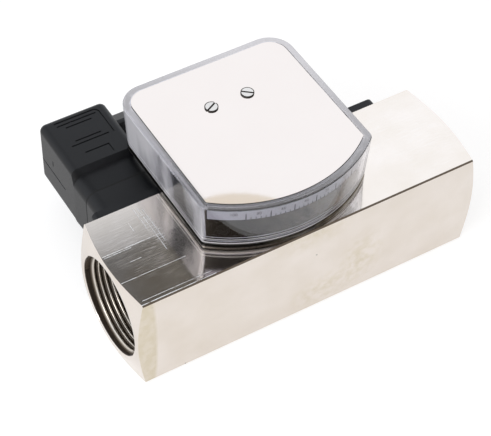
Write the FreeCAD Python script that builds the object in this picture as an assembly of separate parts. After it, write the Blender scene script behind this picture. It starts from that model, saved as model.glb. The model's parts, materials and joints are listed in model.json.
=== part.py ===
"""Variable area flow meter: a square nickel-plated bar with a spring-loaded piston inside, a clear
indicator head with a magnet-driven pointer on top, and a contact housing with a plug behind.

Frame: origin at the centre of the bar's bottom face, +X along the bar, +Y to the back, +Z up.
The flow runs from the port at +X to the port at -X. All sizes are in millimetres.
"""
import FreeCAD
import Part
import math
import os

V = FreeCAD.Vector
X_AXIS = V(1, 0, 0)
Y_AXIS = V(0, 1, 0)
Z_AXIS = V(0, 0, 1)

# Fits: pieces that are fixed together, pieces that slide or turn, and drilled clearance
FIT = 0.05
RUNNING = 0.05
DRILL_GAP = 0.15

# Bar and its two threaded ports (radius of a G 1 1/4 thread at its crests)
BAR_LENGTH = 158.0
PORT_RADIUS = 20.955
PORT_WALL = 3.045
PORT_DEPTH = 22.0
PORT_MOUTH = 0.5
END_LAND = 2.0
END_CHAMFER_DEG = 15.0
EDGE_BREAK = 0.6
CHAMBER_STEP = 2.4

# Metering sleeve, spiders, guide rod and what holds them in the chamber
SLEEVE_WALL = 1.6
TAPER_GAIN = 2.2
THROAT_LAND = 4.0
THROAT_LEAD = 6.0
SPIDER_THICKNESS = 6.0
SPIDER_RIM = 2.0
SPIDER_ARM = 3.0
SPIDER_ARMS = 3
ROD_RADIUS = 2.5
ROD_END = 0.2
ROD_NUT_FLATS = 8.0
ROD_NUT_LENGTH = 2.4
RING_SETBACK = 1.6
RING_THICKNESS = 1.2
RING_BITE = 0.9
RING_LIP = 1.4
RING_GAP = 7.0

# Piston with its ring magnet and return spring
STROKE = 29.0
PISTON_GAP = 0.35
PISTON_RIM = 2.5
PISTON_FLARE = 5.5
PISTON_NOSE = 3.0
FLOW_ANNULUS = 3.0
MAGNET_WALL = 4.0
MAGNET_LENGTH = 10.0
MAGNET_NUT_LENGTH = 4.0
SPRING_WIRE = 0.9
SPRING_OFFSET = 1.2
SPRING_TURNS = 5
SPRING_SEAT_EDGE = 0.6

# Indicator head: outline at its top edge, measured from the pointer's pivot
HEAD_X = -4.6
PIVOT_Y = 34.5
COVER_HALF_WIDTH = 38.9
COVER_ARC_RADIUS = 59.0
COVER_BACK = 25.6
COVER_BACK_CORNER = 11.0
COVER_FRONT_CORNER = 3.4
COVER_MIN_CORNER = 0.4
COVER_DRAFT = 1.3
COVER_HEIGHT = 20.7
COVER_WALL = 2.5
COVER_ROOF = 1.2
COVER_EDGE_ROUND = 0.8
RIM_WIDTH = 3.0
TOP_PLATE_THICKNESS = 1.0
TOP_PLATE_GAP = 0.35
BASE_PLATE_THICKNESS = 1.4
GASKET_THICKNESS = 1.4
GASKET_INSET = 0.6
GASKET_WIDTH = 2.4

# Screws of the head
BASE_SCREW_RADIUS = 1.5
BASE_SCREW_HEAD_RADIUS = 2.8
BASE_SCREW_BITE = 4.5
BASE_SCREW_INSET = 10.0
BASE_SCREW_ANGLE_DEG = 33.0
BASE_SCREW_BACK_Y = 12.0
PLATE_SCREW_RADIUS = 1.5
PLATE_SCREW_HEAD_RADIUS = 2.8
PLATE_SCREW_HEAD = 0.5
PLATE_SCREW_BITE = 6.0
SLOT_WIDTH = 0.8
SLOT_DEPTH = 0.35
PLATE_SLOT_ANGLES_DEG = (27.0, -39.0)
PILLAR_SCREW_BITE = 5.0

# Pillars, bridge, bearings, pointer and scale
PILLAR_SPACING = 16.6
PILLAR_RADIUS = 3.5
BRIDGE_THICKNESS = 2.0
BRIDGE_HALF_WIDTH = 4.5
BEARING_RADIUS = 2.2
BEARING_FLANGE_RADIUS = 3.0
BEARING_FLANGE = 1.0
BEARING_FLOOR = 0.7
SHAFT_RADIUS = 1.0
SHAFT_END_PLAY = 0.1
POINTER_MAGNET_RADIUS = 3.5
POINTER_MAGNET_HEIGHT = 5.0
POINTER_MAGNET_LIFT = 1.5
POINTER_THICKNESS = 1.0
POINTER_ROOT_WIDTH = 7.0
POINTER_TIP_WIDTH = 3.2
POINTER_HUB_RADIUS = 2.8
POINTER_HUB_HEIGHT = 4.0
POINTER_TAIL = 14.0
POINTER_TAIL_RADIUS = 3.6
POINTER_FLAG_THICKNESS = 1.2
POINTER_FLAG_DROP = 4.0
POINTER_TIP_GAP = 0.9
SCALE_HEIGHT = 5.2
SCALE_THICKNESS = 0.8
SCALE_GAP = 0.2
SCALE_HALF_ANGLE_DEG = 39.0

# Contact housing on the back face
SWITCH_LENGTH = 132.3
SWITCH_OVERHANG = 3.2
SWITCH_HEIGHT = 32.6
SWITCH_DROP = 1.4
SWITCH_PLATE = 4.0
SWITCH_CORNER = 2.5
SWITCH_WALL = 2.0
SWITCH_BOX_DEPTH = 15.0
SWITCH_BOX_MARGIN = 3.0
SWITCH_BOX_COVERED = 4.0
SWITCH_BOX_GAP = 1.0
SWITCH_BOX_CORNER = 3.0
SWITCH_LID = 2.0
SWITCH_SCREW_RADIUS = 1.5
SWITCH_SCREW_HEAD_RADIUS = 2.7
SWITCH_SCREW_HEAD = 1.6
SWITCH_SCREW_BITE = 3.5
SWITCH_SCREW_EDGE = 6.0
SWITCH_SCREW_END = 8.0
SWITCH_SCREW_SPACING = 12.0
LID_BOSS_RADIUS = 2.8
LID_SCREW_RADIUS = 1.2
LID_SCREW_HEAD_RADIUS = 2.2
LID_SCREW_HEAD = 1.4
LID_SCREW_BITE = 7.0

# Reed contact and its adjustable holder
REED_ADJUST = 8.0
REED_HOLDER_LENGTH = 22.0
REED_FLANGE_HALF = 6.0
REED_FLANGE = 1.6
REED_BLOCK_HALF = 4.0
REED_BLOCK_HEIGHT = 5.0
REED_RADIUS = 1.1
REED_LENGTH = 14.0
REED_LEAD_RADIUS = 0.3
REED_LEAD = 4.0
RAIL_WALL = 1.6
RAIL_GAP = 0.2

# Socket, plug and cable gland
SOCKET_INSET = 0.3
SOCKET_DEPTH = 11.4
SOCKET_CORNER = 5.0
PLUG_SEAL = 0.8
PIN_WIDTH = 6.0
PIN_THICKNESS = 1.0
PIN_LENGTH = 12.0
PIN_ROOT = 6.0
PIN_RING_RADIUS = 6.5
HOOD_WIDTH = 30.2
HOOD_HEIGHT = 30.2
HOOD_LENGTH = 30.0
HOOD_CORNER = 3.0
HOOD_FAR_ROUND = 2.4
HOOD_WALL = 2.6
HOOD_RISE = 2.9
HOOD_HEAD_GAP = 0.4
HOOD_UNDER_HEAD = 5.9
SHOULDER_LENGTH = 1.6
SKIRT_LENGTH = 10.0
SKIRT_HEIGHT = 30.0
SKIRT_CORNER = 5.5
SKIRT_DRAFT = 0.4
GROOVE_WIDTH = 0.6
GROOVE_DEPTH = 0.4
GROOVE_CORNER = 2.2
LINE_SETBACKS = (5.2, 7.4, 16.0, 18.1)
LINE_HALF_LENGTHS = (8.9, 5.9, 5.9, 8.5)
BORDER_SETBACK = 3.2
BORDER_LEFT = 9.3
BORDER_RIGHT = 10.5
BORDER_END = 18.5
TAB_SETBACK = 23.7
TAB_HALF_LENGTH = 5.3
TAB_END = 28.3
PARTING_DROP = 17.7
PARTING_END = 23.0
LATCH_SETBACK = 12.3
LATCH_TOP = 10.7
LATCH_HEIGHT = 2.8
WIRE_ROOM = 17.0
INSERT_GAP = 0.2
INSERT_SLOT_GAP = 0.3
PLUG_SCREW_RADIUS = 1.5
PLUG_SCREW_HEAD_RADIUS = 3.0
PLUG_SCREW_HEAD = 2.0
PLUG_SCREW_BITE = 6.0
GLAND_Y_SETBACK = 10.5
GLAND_SPIGOT_RADIUS = 8.0
GLAND_SPIGOT_BORE = 6.0
GLAND_SPIGOT_LENGTH = 8.0
GLAND_NUT_GAP = 0.7
GLAND_NUT_FLATS = 19.0
GLAND_NUT_RADIUS = 10.4
GLAND_NUT_COLLAR = 5.0
GLAND_SEAL_LENGTH = 6.0
GLAND_SEAL_BORE = 3.5
CABLE_BORE_RADIUS = 4.75

# Bar and passage sizes that follow from the port
BAR_HALF_SIDE = PORT_RADIUS + PORT_WALL
BAR_HALF_LENGTH = BAR_LENGTH / 2
BAR_TOP = 2 * BAR_HALF_SIDE
AXIS_Z = BAR_HALF_SIDE
END_FACE_RADIUS = PORT_RADIUS + END_LAND
CHAMBER_RADIUS = PORT_RADIUS - CHAMBER_STEP
CHAMBER_END = BAR_HALF_LENGTH - PORT_DEPTH
RING_OUTER_X = CHAMBER_END - RING_SETBACK
SPIDER_OUTER_X = RING_OUTER_X - RING_THICKNESS
SLEEVE_END_X = SPIDER_OUTER_X - SPIDER_THICKNESS
SLEEVE_RADIUS = CHAMBER_RADIUS - FIT
WIDE_BORE = SLEEVE_RADIUS - SLEEVE_WALL
THROAT_RADIUS = WIDE_BORE - TAPER_GAIN

# Piston sizes, and its place at rest with the magnet half a stroke before the pivot
PISTON_RADIUS = THROAT_RADIUS - PISTON_GAP
MAGNET_RADIUS = PISTON_RADIUS - FLOW_ANNULUS
HUB_RADIUS = MAGNET_RADIUS - MAGNET_WALL - FIT
MAGNET_X = HEAD_X + STROKE / 2
MAGNET_FRONT_X = MAGNET_X + MAGNET_LENGTH / 2
MAGNET_BACK_X = MAGNET_X - MAGNET_LENGTH / 2
PISTON_BACK_X = MAGNET_BACK_X - MAGNET_NUT_LENGTH
RIM_BACK_X = MAGNET_FRONT_X + PISTON_FLARE
RIM_FRONT_X = RIM_BACK_X + PISTON_RIM
SPRING_RADIUS = HUB_RADIUS + SPRING_OFFSET
SPIDER_HUB_RADIUS = SPRING_RADIUS + SPRING_WIRE / 2 + SPRING_SEAT_EDGE

# Levels of the head
BASE_TOP = BAR_TOP + BASE_PLATE_THICKNESS
COVER_FOOT = BASE_TOP + GASKET_THICKNESS
COVER_TOP = COVER_FOOT + COVER_HEIGHT
PLATE_SEAT = COVER_TOP - TOP_PLATE_THICKNESS
ROOF_UNDER = PLATE_SEAT - COVER_ROOF
BRIDGE_UNDER = ROOF_UNDER - BRIDGE_THICKNESS
SCALE_FOOT = ROOF_UNDER - SCALE_HEIGHT
POINTER_UNDER = BASE_TOP + POINTER_MAGNET_LIFT + POINTER_MAGNET_HEIGHT
POINTER_REST_DEG = math.degrees(STROKE / PIVOT_Y) / 2
POINTER_TIP_RADIUS = (
    COVER_ARC_RADIUS - COVER_DRAFT - COVER_WALL - SCALE_GAP - SCALE_THICKNESS - POINTER_TIP_GAP
)
PILLAR_OFFSETS = (-PILLAR_SPACING / 2, PILLAR_SPACING / 2)

# Places of the plug and the contact housing, the plug's top just under the head's base
BACK_FACE = BAR_HALF_SIDE
SWITCH_BACK = BACK_FACE + SWITCH_PLATE
SWITCH_TOP = BAR_TOP - SWITCH_DROP
SWITCH_FOOT = SWITCH_TOP - SWITCH_HEIGHT
SWITCH_MID_Z = SWITCH_TOP - SWITCH_HEIGHT / 2
HOOD_RIGHT = HEAD_X - COVER_HALF_WIDTH + HOOD_UNDER_HEAD
HOOD_LEFT = HOOD_RIGHT - HOOD_WIDTH
HOOD_TOP = BAR_TOP - HOOD_HEAD_GAP
HOOD_FOOT = HOOD_TOP - HOOD_HEIGHT
HOOD_Z = (HOOD_TOP + HOOD_FOOT) / 2
PLUG_X = (HOOD_LEFT + HOOD_RIGHT) / 2
PLUG_Z = HOOD_Z - HOOD_RISE
SOCKET_WIDTH = HOOD_WIDTH - 2 * SOCKET_INSET
SOCKET_HEIGHT = SKIRT_HEIGHT - 2 * SOCKET_INSET
SWITCH_LEFT = HOOD_LEFT - SWITCH_OVERHANG
SWITCH_RIGHT = SWITCH_LEFT + SWITCH_LENGTH
BOX_LEFT = PLUG_X + SOCKET_WIDTH / 2 + SWITCH_BOX_GAP
BOX_RIGHT = HEAD_X + COVER_HALF_WIDTH - COVER_DRAFT - SWITCH_BOX_COVERED
BOX_FOOT = SWITCH_FOOT + SWITCH_BOX_MARGIN
BOX_TOP = SWITCH_TOP - SWITCH_BOX_MARGIN
BOX_BACK = SWITCH_BACK + SWITCH_BOX_DEPTH
SOCKET_BACK = SWITCH_BACK + SOCKET_DEPTH
SKIRT_FRONT = SOCKET_BACK + PLUG_SEAL
SHOULDER_FRONT = SKIRT_FRONT + SKIRT_LENGTH
HOOD_FRONT = SHOULDER_FRONT + SHOULDER_LENGTH
HOOD_BACK = HOOD_FRONT + HOOD_LENGTH
HOOD_FLOOR = HOOD_BACK - HOOD_WALL
INSERT_BACK = HOOD_FLOOR - WIRE_ROOM
GLAND_Y = HOOD_BACK - GLAND_Y_SETBACK
SPIGOT_END = HOOD_RIGHT + GLAND_SPIGOT_LENGTH
GLAND_SEAL_END = SPIGOT_END + GLAND_SEAL_LENGTH
GLAND_NUT_END = GLAND_SEAL_END + GLAND_NUT_COLLAR
REED_FLANGE_Y = SWITCH_BACK + RUNNING
REED_BLOCK_Y = REED_FLANGE_Y + REED_FLANGE
REED_Y = REED_BLOCK_Y + REED_BLOCK_HEIGHT / 2


def block(x_span, y_span, z_span):
    """Box between the low and high value on each axis."""
    size = [high - low for low, high in (x_span, y_span, z_span)]
    return Part.makeBox(*size, V(x_span[0], y_span[0], z_span[0]))


def rod(radius, start, end):
    """Cylinder between two points."""
    along = end.sub(start)
    return Part.makeCylinder(radius, along.Length, start, along)


def pipe(outer, inner, start, end):
    """Tube between two points."""
    return rod(outer, start, end).cut(rod(inner, start, end))


def merged(shapes):
    """Overlapping shapes fused to one clean solid."""
    return shapes[0].fuse(shapes[1:]).removeSplitter()


def on_axis(x):
    """Point of the flow axis at x."""
    return V(x, 0, AXIS_Z)


def on_pivot(z):
    """Point of the pointer's pivot at height z."""
    return V(HEAD_X, PIVOT_Y, z)


def turned(profile):
    """Solid turned about the flow axis from a closed outline of (x, radius) points."""
    points = [V(x, 0, AXIS_Z + radius) for x, radius in profile]
    face = Part.Face(Part.makePolygon(points + points[:1]))
    return face.revolve(on_axis(0), X_AXIS, 360)


def hexagon(across_flats, start, end):
    """Hexagonal prism between two points along X."""
    corner = across_flats / math.sqrt(3)
    points = [
        V(start.x, start.y + corner * math.sin(turn), start.z + corner * math.cos(turn))
        for turn in [math.radians(60 * step) for step in range(7)]
    ]
    return Part.Face(Part.makePolygon(points)).extrude(end.sub(start))


def rounded_outline(x_span, z_span, radius, y):
    """Rectangle with round corners in the plane at y."""
    (x0, x1), (z0, z1) = x_span, z_span
    diagonal = radius * (1 - math.sqrt(0.5))
    corners = [(x0, z0, 1, 1), (x1, z0, -1, 1), (x1, z1, -1, -1), (x0, z1, 1, -1)]
    arcs = []
    for x, z, x_in, z_in in corners:
        beside = V(x + x_in * radius, y, z)
        above = V(x, y, z + z_in * radius)
        middle = V(x + x_in * diagonal, y, z + z_in * diagonal)
        ends = (above, beside) if x_in == z_in else (beside, above)
        arcs.append(Part.Arc(ends[0], middle, ends[1]))
    edges = []
    for here, following in zip(arcs, arcs[1:] + arcs[:1]):
        edges.append(here.toShape())
        edges.append(Part.LineSegment(here.EndPoint, following.StartPoint).toShape())
    return Part.Wire(edges)


def rounded_block(x_span, y_span, z_span, radius):
    """Block along Y with its four long edges rounded."""
    face = Part.Face(rounded_outline(x_span, z_span, radius, y_span[0]))
    return face.extrude(V(0, y_span[1] - y_span[0], 0))


def head_outline(inset, z):
    """The head's outline, moved inwards: straight sides and back, and an arc about the pivot."""
    half = COVER_HALF_WIDTH - inset
    arc = COVER_ARC_RADIUS - inset
    back = PIVOT_Y + COVER_BACK - inset
    back_corner = max(COVER_BACK_CORNER - inset, COVER_MIN_CORNER)
    corner = max(COVER_FRONT_CORNER - inset, COVER_MIN_CORNER)
    bow = back_corner * (1 - math.sqrt(0.5))
    run = math.sqrt((arc - corner) ** 2 - (half - corner) ** 2)
    turn = math.atan2(half - corner, run)
    half_turn = (turn + math.pi / 2) / 2

    def place(x, y):
        return V(HEAD_X + x, y, z)

    def side(sign):
        touch = place(sign * arc * math.sin(turn), PIVOT_Y - arc * math.cos(turn))
        middle = place(
            sign * (half - corner + corner * math.sin(half_turn)),
            PIVOT_Y - run - corner * math.cos(half_turn),
        )
        start = place(sign * half, PIVOT_Y - run)
        end = place(sign * half, back - back_corner)
        bend = place(sign * (half - bow), back - bow)
        top = place(sign * (half - back_corner), back)
        return touch, middle, start, end, bend, top

    right = side(1)
    left = side(-1)
    edges = [
        Part.Arc(right[0], right[1], right[2]),
        Part.LineSegment(right[2], right[3]),
        Part.Arc(right[3], right[4], right[5]),
        Part.LineSegment(right[5], left[5]),
        Part.Arc(left[5], left[4], left[3]),
        Part.LineSegment(left[3], left[2]),
        Part.Arc(left[2], left[1], left[0]),
        Part.Arc(left[0], place(0, PIVOT_Y - arc), right[0]),
    ]
    return Part.Wire([edge.toShape() for edge in edges])


def head_inset(z):
    """How far the drafted cover stands inside its top outline at height z."""
    return COVER_DRAFT * (COVER_TOP - z) / COVER_HEIGHT


def head_slab(inset, foot, top):
    """Straight plate of the head's outline."""
    return Part.Face(head_outline(inset, foot)).extrude(V(0, 0, top - foot))


def head_taper(inset, foot, top):
    """Solid that follows the cover's draft, moved inwards."""
    wires = [head_outline(head_inset(z) + inset, z) for z in (foot, top)]
    return Part.makeLoft(wires, True, True)


def head_screw_places():
    """Places of the base plate's screws: two along the front arc and two at the back."""
    reach = COVER_ARC_RADIUS - COVER_DRAFT - BASE_SCREW_INSET
    turn = math.radians(BASE_SCREW_ANGLE_DEG)
    side = reach * math.sin(turn)
    front_y = PIVOT_Y - reach * math.cos(turn)
    return [(HEAD_X + sign * side, y) for sign in (-1, 1) for y in (front_y, BASE_SCREW_BACK_Y)]


def countersunk(radius, head_radius, x, y, top, foot):
    """Countersunk screw standing along Z, its head at top and its end at foot (up or down)."""
    way = 1 if top > foot else -1
    depth = head_radius - radius
    cone = Part.makeCone(head_radius, radius, depth, V(x, y, top), V(0, 0, -way))
    shank = rod(radius, V(x, y, top - way * depth), V(x, y, foot))
    return merged([cone, shank])


def switch_screw_places():
    """Places of the four screws that hold the contact housing on the bar's back face."""
    columns = (BOX_LEFT + SWITCH_WALL + SWITCH_SCREW_EDGE, SWITCH_RIGHT - SWITCH_SCREW_END)
    rows = (SWITCH_MID_Z - SWITCH_SCREW_SPACING / 2, SWITCH_MID_Z + SWITCH_SCREW_SPACING / 2)
    return [(x, z) for x in columns for z in rows]


def lid_screw_places():
    """Places of the lid's screws, in the four corners of the box."""
    step = SWITCH_WALL + LID_BOSS_RADIUS / 2
    columns = (BOX_LEFT + step, BOX_RIGHT - step)
    return [(x, z) for x in columns for z in (BOX_FOOT + step, BOX_TOP - step)]


def pin_places():
    """Centre and turn of each contact blade round the plug's screw."""
    return [(90 * step, V(PLUG_X, SOCKET_BACK, PLUG_Z)) for step in range(4)]


def pin_blade(gap, start, end):
    """The four contact blades between two Y levels, grown by a gap on each side."""
    blades = []
    for turn, centre in pin_places():
        blade = block(
            (PLUG_X - PIN_WIDTH / 2 - gap, PLUG_X + PIN_WIDTH / 2 + gap),
            (start, end),
            (
                PLUG_Z + PIN_RING_RADIUS - PIN_THICKNESS / 2 - gap,
                PLUG_Z + PIN_RING_RADIUS + PIN_THICKNESS / 2 + gap,
            ),
        )
        blade.rotate(centre, Y_AXIS, turn)
        blades.append(blade)
    return blades


def make_body():
    """Square bar with turned, chamfered ends, the stepped passage and the tapped fixing holes."""
    slope = math.tan(math.radians(END_CHAMFER_DEG))
    reach = BAR_HALF_SIDE * math.sqrt(2) + EDGE_BREAK
    setback = (reach - END_FACE_RADIUS) * slope
    blank = turned([
        (-BAR_HALF_LENGTH, 0),
        (-BAR_HALF_LENGTH, END_FACE_RADIUS),
        (-BAR_HALF_LENGTH + setback, reach),
        (BAR_HALF_LENGTH - setback, reach),
        (BAR_HALF_LENGTH, END_FACE_RADIUS),
        (BAR_HALF_LENGTH, 0),
    ])
    across = (-BAR_HALF_SIDE, BAR_HALF_SIDE)
    bar = block((-BAR_HALF_LENGTH, BAR_HALF_LENGTH), across, (0, BAR_TOP))
    long_edges = [edge for edge in bar.Edges if abs(edge.Length - BAR_LENGTH) < FIT]
    bar = bar.makeChamfer(EDGE_BREAK, long_edges).common(blank)
    half = [
        (BAR_HALF_LENGTH, PORT_RADIUS + PORT_MOUTH),
        (BAR_HALF_LENGTH - PORT_MOUTH, PORT_RADIUS),
        (CHAMBER_END, PORT_RADIUS),
        (CHAMBER_END, CHAMBER_RADIUS),
        (RING_OUTER_X + FIT, CHAMBER_RADIUS),
        (RING_OUTER_X + FIT, CHAMBER_RADIUS + RING_BITE),
        (SPIDER_OUTER_X, CHAMBER_RADIUS + RING_BITE),
        (SPIDER_OUTER_X, CHAMBER_RADIUS),
    ]
    mirrored = [(-x, radius) for x, radius in half]
    passage = turned([(BAR_HALF_LENGTH, 0)] + half + mirrored[::-1] + [(-BAR_HALF_LENGTH, 0)])
    holes = [
        rod(BASE_SCREW_RADIUS + FIT, V(x, y, BAR_TOP - BASE_SCREW_BITE - FIT), V(x, y, BAR_TOP))
        for x, y in head_screw_places()
    ]
    holes += [
        rod(
            SWITCH_SCREW_RADIUS + FIT,
            V(x, BACK_FACE - SWITCH_SCREW_BITE - FIT, z),
            V(x, BACK_FACE, z),
        )
        for x, z in switch_screw_places()
    ]
    return bar.cut([passage] + holes)


def make_metering_sleeve():
    """Sleeve whose bore narrows to the throat and then widens along the stroke."""
    throat_front = RIM_FRONT_X + (THROAT_LAND - PISTON_RIM) / 2
    throat_back = throat_front - THROAT_LAND
    return turned([
        (SLEEVE_END_X, SLEEVE_RADIUS),
        (SLEEVE_END_X, WIDE_BORE),
        (throat_front + THROAT_LEAD, WIDE_BORE),
        (throat_front, THROAT_RADIUS),
        (throat_back, THROAT_RADIUS),
        (throat_back - STROKE, WIDE_BORE),
        (-SLEEVE_END_X, WIDE_BORE),
        (-SLEEVE_END_X, SLEEVE_RADIUS),
    ])


def make_guide_rod():
    """Straight rod on the flow axis, through both spiders."""
    end = SPIDER_OUTER_X + ROD_NUT_LENGTH + ROD_END
    return rod(ROD_RADIUS, on_axis(-end), on_axis(end))


def make_spider(side):
    """Ring with arms and a hub that carries the guide rod at one end of the sleeve."""
    start = on_axis(side * SLEEVE_END_X)
    end = on_axis(side * SPIDER_OUTER_X)
    rim_bore = SLEEVE_RADIUS - SPIDER_RIM
    pieces = [
        pipe(SLEEVE_RADIUS, rim_bore, start, end),
        pipe(SPIDER_HUB_RADIUS, ROD_RADIUS + FIT, start, end),
    ]
    for step in range(SPIDER_ARMS):
        arm = block(
            sorted((start.x, end.x)),
            (-SPIDER_ARM / 2, SPIDER_ARM / 2),
            (AXIS_Z + SPIDER_HUB_RADIUS - SPRING_SEAT_EDGE, AXIS_Z + rim_bore + SPIDER_RIM / 2),
        )
        arm.rotate(on_axis(0), X_AXIS, 360 / SPIDER_ARMS * step)
        pieces.append(arm)
    return merged(pieces)


def make_rod_nuts():
    """Hexagon nut on each end of the guide rod."""
    nuts = []
    for side in (-1, 1):
        start = on_axis(side * SPIDER_OUTER_X)
        end = on_axis(side * (SPIDER_OUTER_X + ROD_NUT_LENGTH))
        nuts.append(hexagon(ROD_NUT_FLATS, start, end).cut(rod(ROD_RADIUS + FIT, start, end)))
    return Part.makeCompound(nuts)


def make_retaining_rings():
    """Open spring ring in the groove behind each spider."""
    outer = CHAMBER_RADIUS + RING_BITE - FIT
    rings = []
    for side in (-1, 1):
        start = on_axis(side * SPIDER_OUTER_X)
        end = on_axis(side * RING_OUTER_X)
        gap = block(sorted((start.x, end.x)), (-RING_GAP / 2, RING_GAP / 2), (AXIS_Z - 2 * outer, AXIS_Z))
        rings.append(pipe(outer, CHAMBER_RADIUS - RING_LIP, start, end).cut(gap))
    return Part.makeCompound(rings)


def make_piston():
    """Piston with a sharp metering rim, a flared back and a long hub on the guide rod."""
    bore = ROD_RADIUS + RUNNING
    return turned([
        (PISTON_BACK_X, bore),
        (PISTON_BACK_X, HUB_RADIUS),
        (MAGNET_FRONT_X, HUB_RADIUS),
        (MAGNET_FRONT_X, MAGNET_RADIUS),
        (RIM_BACK_X, PISTON_RADIUS),
        (RIM_FRONT_X, PISTON_RADIUS),
        (RIM_FRONT_X, MAGNET_RADIUS),
        (RIM_FRONT_X + PISTON_NOSE, HUB_RADIUS),
        (RIM_FRONT_X + PISTON_NOSE, bore),
    ])


def make_piston_magnet():
    """Ring magnet on the piston's hub."""
    return pipe(MAGNET_RADIUS, HUB_RADIUS + FIT, on_axis(MAGNET_BACK_X), on_axis(MAGNET_FRONT_X))


def make_magnet_nut():
    """Nut that clamps the magnet and seats the spring."""
    start = on_axis(PISTON_BACK_X)
    end = on_axis(MAGNET_BACK_X)
    nut = hexagon(MAGNET_RADIUS * math.sqrt(3), start, end)
    return nut.cut(rod(HUB_RADIUS + FIT, start, end))


def make_return_spring():
    """Square-wire spring from the outlet spider to the magnet nut, in tilted half turns with ground ends."""
    half = SPRING_WIRE / 2
    start = -SLEEVE_END_X + half
    end = PISTON_BACK_X - half
    advance = (end - start) / (2 * SPRING_TURNS)
    halves = []
    for step in range(2 * SPRING_TURNS):
        way = -1 if step % 2 else 1
        begin = V(start + step * advance, way * SPRING_RADIUS, AXIS_Z)
        corner = V(begin.x - half, begin.y - half, AXIS_Z)
        section = Part.makePlane(SPRING_WIRE, SPRING_WIRE, corner)
        tilt = V(2 * SPRING_RADIUS, way * advance, 0)
        halves.append(section.revolve(on_axis(begin.x + advance / 2), tilt, 180))
    return merged(halves).common(rod(SPIDER_HUB_RADIUS, on_axis(-SLEEVE_END_X), on_axis(PISTON_BACK_X)))


def make_base_plate():
    """Plate of the head's outline that lies on the bar and closes the overhang from below."""
    plate = head_slab(COVER_DRAFT, BAR_TOP, BASE_TOP)
    cuts = [
        countersunk(BASE_SCREW_RADIUS + FIT, BASE_SCREW_HEAD_RADIUS + FIT, x, y, BASE_TOP, BAR_TOP)
        for x, y in head_screw_places()
    ]
    cuts += [
        countersunk(
            PLATE_SCREW_RADIUS + FIT,
            PLATE_SCREW_HEAD_RADIUS + FIT,
            HEAD_X + offset,
            PIVOT_Y,
            BAR_TOP,
            BASE_TOP,
        )
        for offset in PILLAR_OFFSETS
    ]
    cuts.append(rod(BEARING_RADIUS + FIT, on_pivot(BAR_TOP), on_pivot(BASE_TOP)))
    return plate.cut(cuts)


def make_base_plate_screws():
    """Countersunk screws that hold the base plate on the bar."""
    return Part.makeCompound([
        countersunk(
            BASE_SCREW_RADIUS,
            BASE_SCREW_HEAD_RADIUS,
            x,
            y,
            BASE_TOP,
            BAR_TOP - BASE_SCREW_BITE,
        )
        for x, y in head_screw_places()
    ])


def make_cover_gasket():
    """Flat rubber seal under the cover's wall."""
    inset = COVER_DRAFT + GASKET_INSET
    ring = head_slab(inset, BASE_TOP, COVER_FOOT)
    return ring.cut(head_slab(inset + GASKET_WIDTH, BASE_TOP, COVER_FOOT))


def make_clear_cover():
    """Clear moulded cup with a drafted wall, a roof and a rebate for the top plate."""
    cup = head_taper(0, COVER_FOOT, COVER_TOP)
    rim = [edge for edge in cup.Edges if edge.BoundBox.ZMin > COVER_TOP - FIT]
    cup = cup.makeFillet(COVER_EDGE_ROUND, rim)
    holes = [
        rod(
            PLATE_SCREW_RADIUS + DRILL_GAP,
            V(HEAD_X + offset, PIVOT_Y, ROOF_UNDER),
            V(HEAD_X + offset, PIVOT_Y, PLATE_SEAT),
        )
        for offset in PILLAR_OFFSETS
    ]
    rebate = head_slab(RIM_WIDTH, PLATE_SEAT, COVER_TOP)
    return cup.cut([head_taper(COVER_WALL, COVER_FOOT, ROOF_UNDER), rebate] + holes)


def make_top_plate():
    """Polished plate let into the cover's top."""
    plate = head_slab(RIM_WIDTH + TOP_PLATE_GAP, PLATE_SEAT, COVER_TOP)
    holes = [
        rod(
            PLATE_SCREW_RADIUS + DRILL_GAP,
            V(HEAD_X + offset, PIVOT_Y, PLATE_SEAT),
            V(HEAD_X + offset, PIVOT_Y, COVER_TOP),
        )
        for offset in PILLAR_OFFSETS
    ]
    return plate.cut(holes)


def make_plate_screws():
    """Slotted screws through the top plate, the cover and the bridge into the pillars."""
    screws = []
    for offset, slot_angle in zip(PILLAR_OFFSETS, PLATE_SLOT_ANGLES_DEG):
        x = HEAD_X + offset
        head_top = COVER_TOP + PLATE_SCREW_HEAD
        head = rod(PLATE_SCREW_HEAD_RADIUS, V(x, PIVOT_Y, COVER_TOP), V(x, PIVOT_Y, head_top))
        slot = block(
            (x - PLATE_SCREW_HEAD_RADIUS, x + PLATE_SCREW_HEAD_RADIUS),
            (PIVOT_Y - SLOT_WIDTH / 2, PIVOT_Y + SLOT_WIDTH / 2),
            (head_top - SLOT_DEPTH, head_top),
        )
        slot.rotate(V(x, PIVOT_Y, 0), Z_AXIS, slot_angle)
        foot = BRIDGE_UNDER - PLATE_SCREW_BITE
        shank = rod(PLATE_SCREW_RADIUS, V(x, PIVOT_Y, foot), V(x, PIVOT_Y, COVER_TOP))
        screws.append(merged([head, shank]).cut(slot))
    return Part.makeCompound(screws)


def make_pillars():
    """Two turned pillars that carry the bridge and take the screws from both ends."""
    pillars = []
    for offset in PILLAR_OFFSETS:
        x = HEAD_X + offset
        upper_hole = BRIDGE_UNDER - PLATE_SCREW_BITE - FIT
        lower_hole = BASE_TOP + PILLAR_SCREW_BITE + FIT
        post = rod(PILLAR_RADIUS, V(x, PIVOT_Y, BASE_TOP), V(x, PIVOT_Y, BRIDGE_UNDER))
        drill = PLATE_SCREW_RADIUS + FIT
        upper = rod(drill, V(x, PIVOT_Y, upper_hole), V(x, PIVOT_Y, BRIDGE_UNDER))
        lower = rod(drill, V(x, PIVOT_Y, BASE_TOP), V(x, PIVOT_Y, lower_hole))
        pillars.append(post.cut([upper, lower]))
    return Part.makeCompound(pillars)


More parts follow.
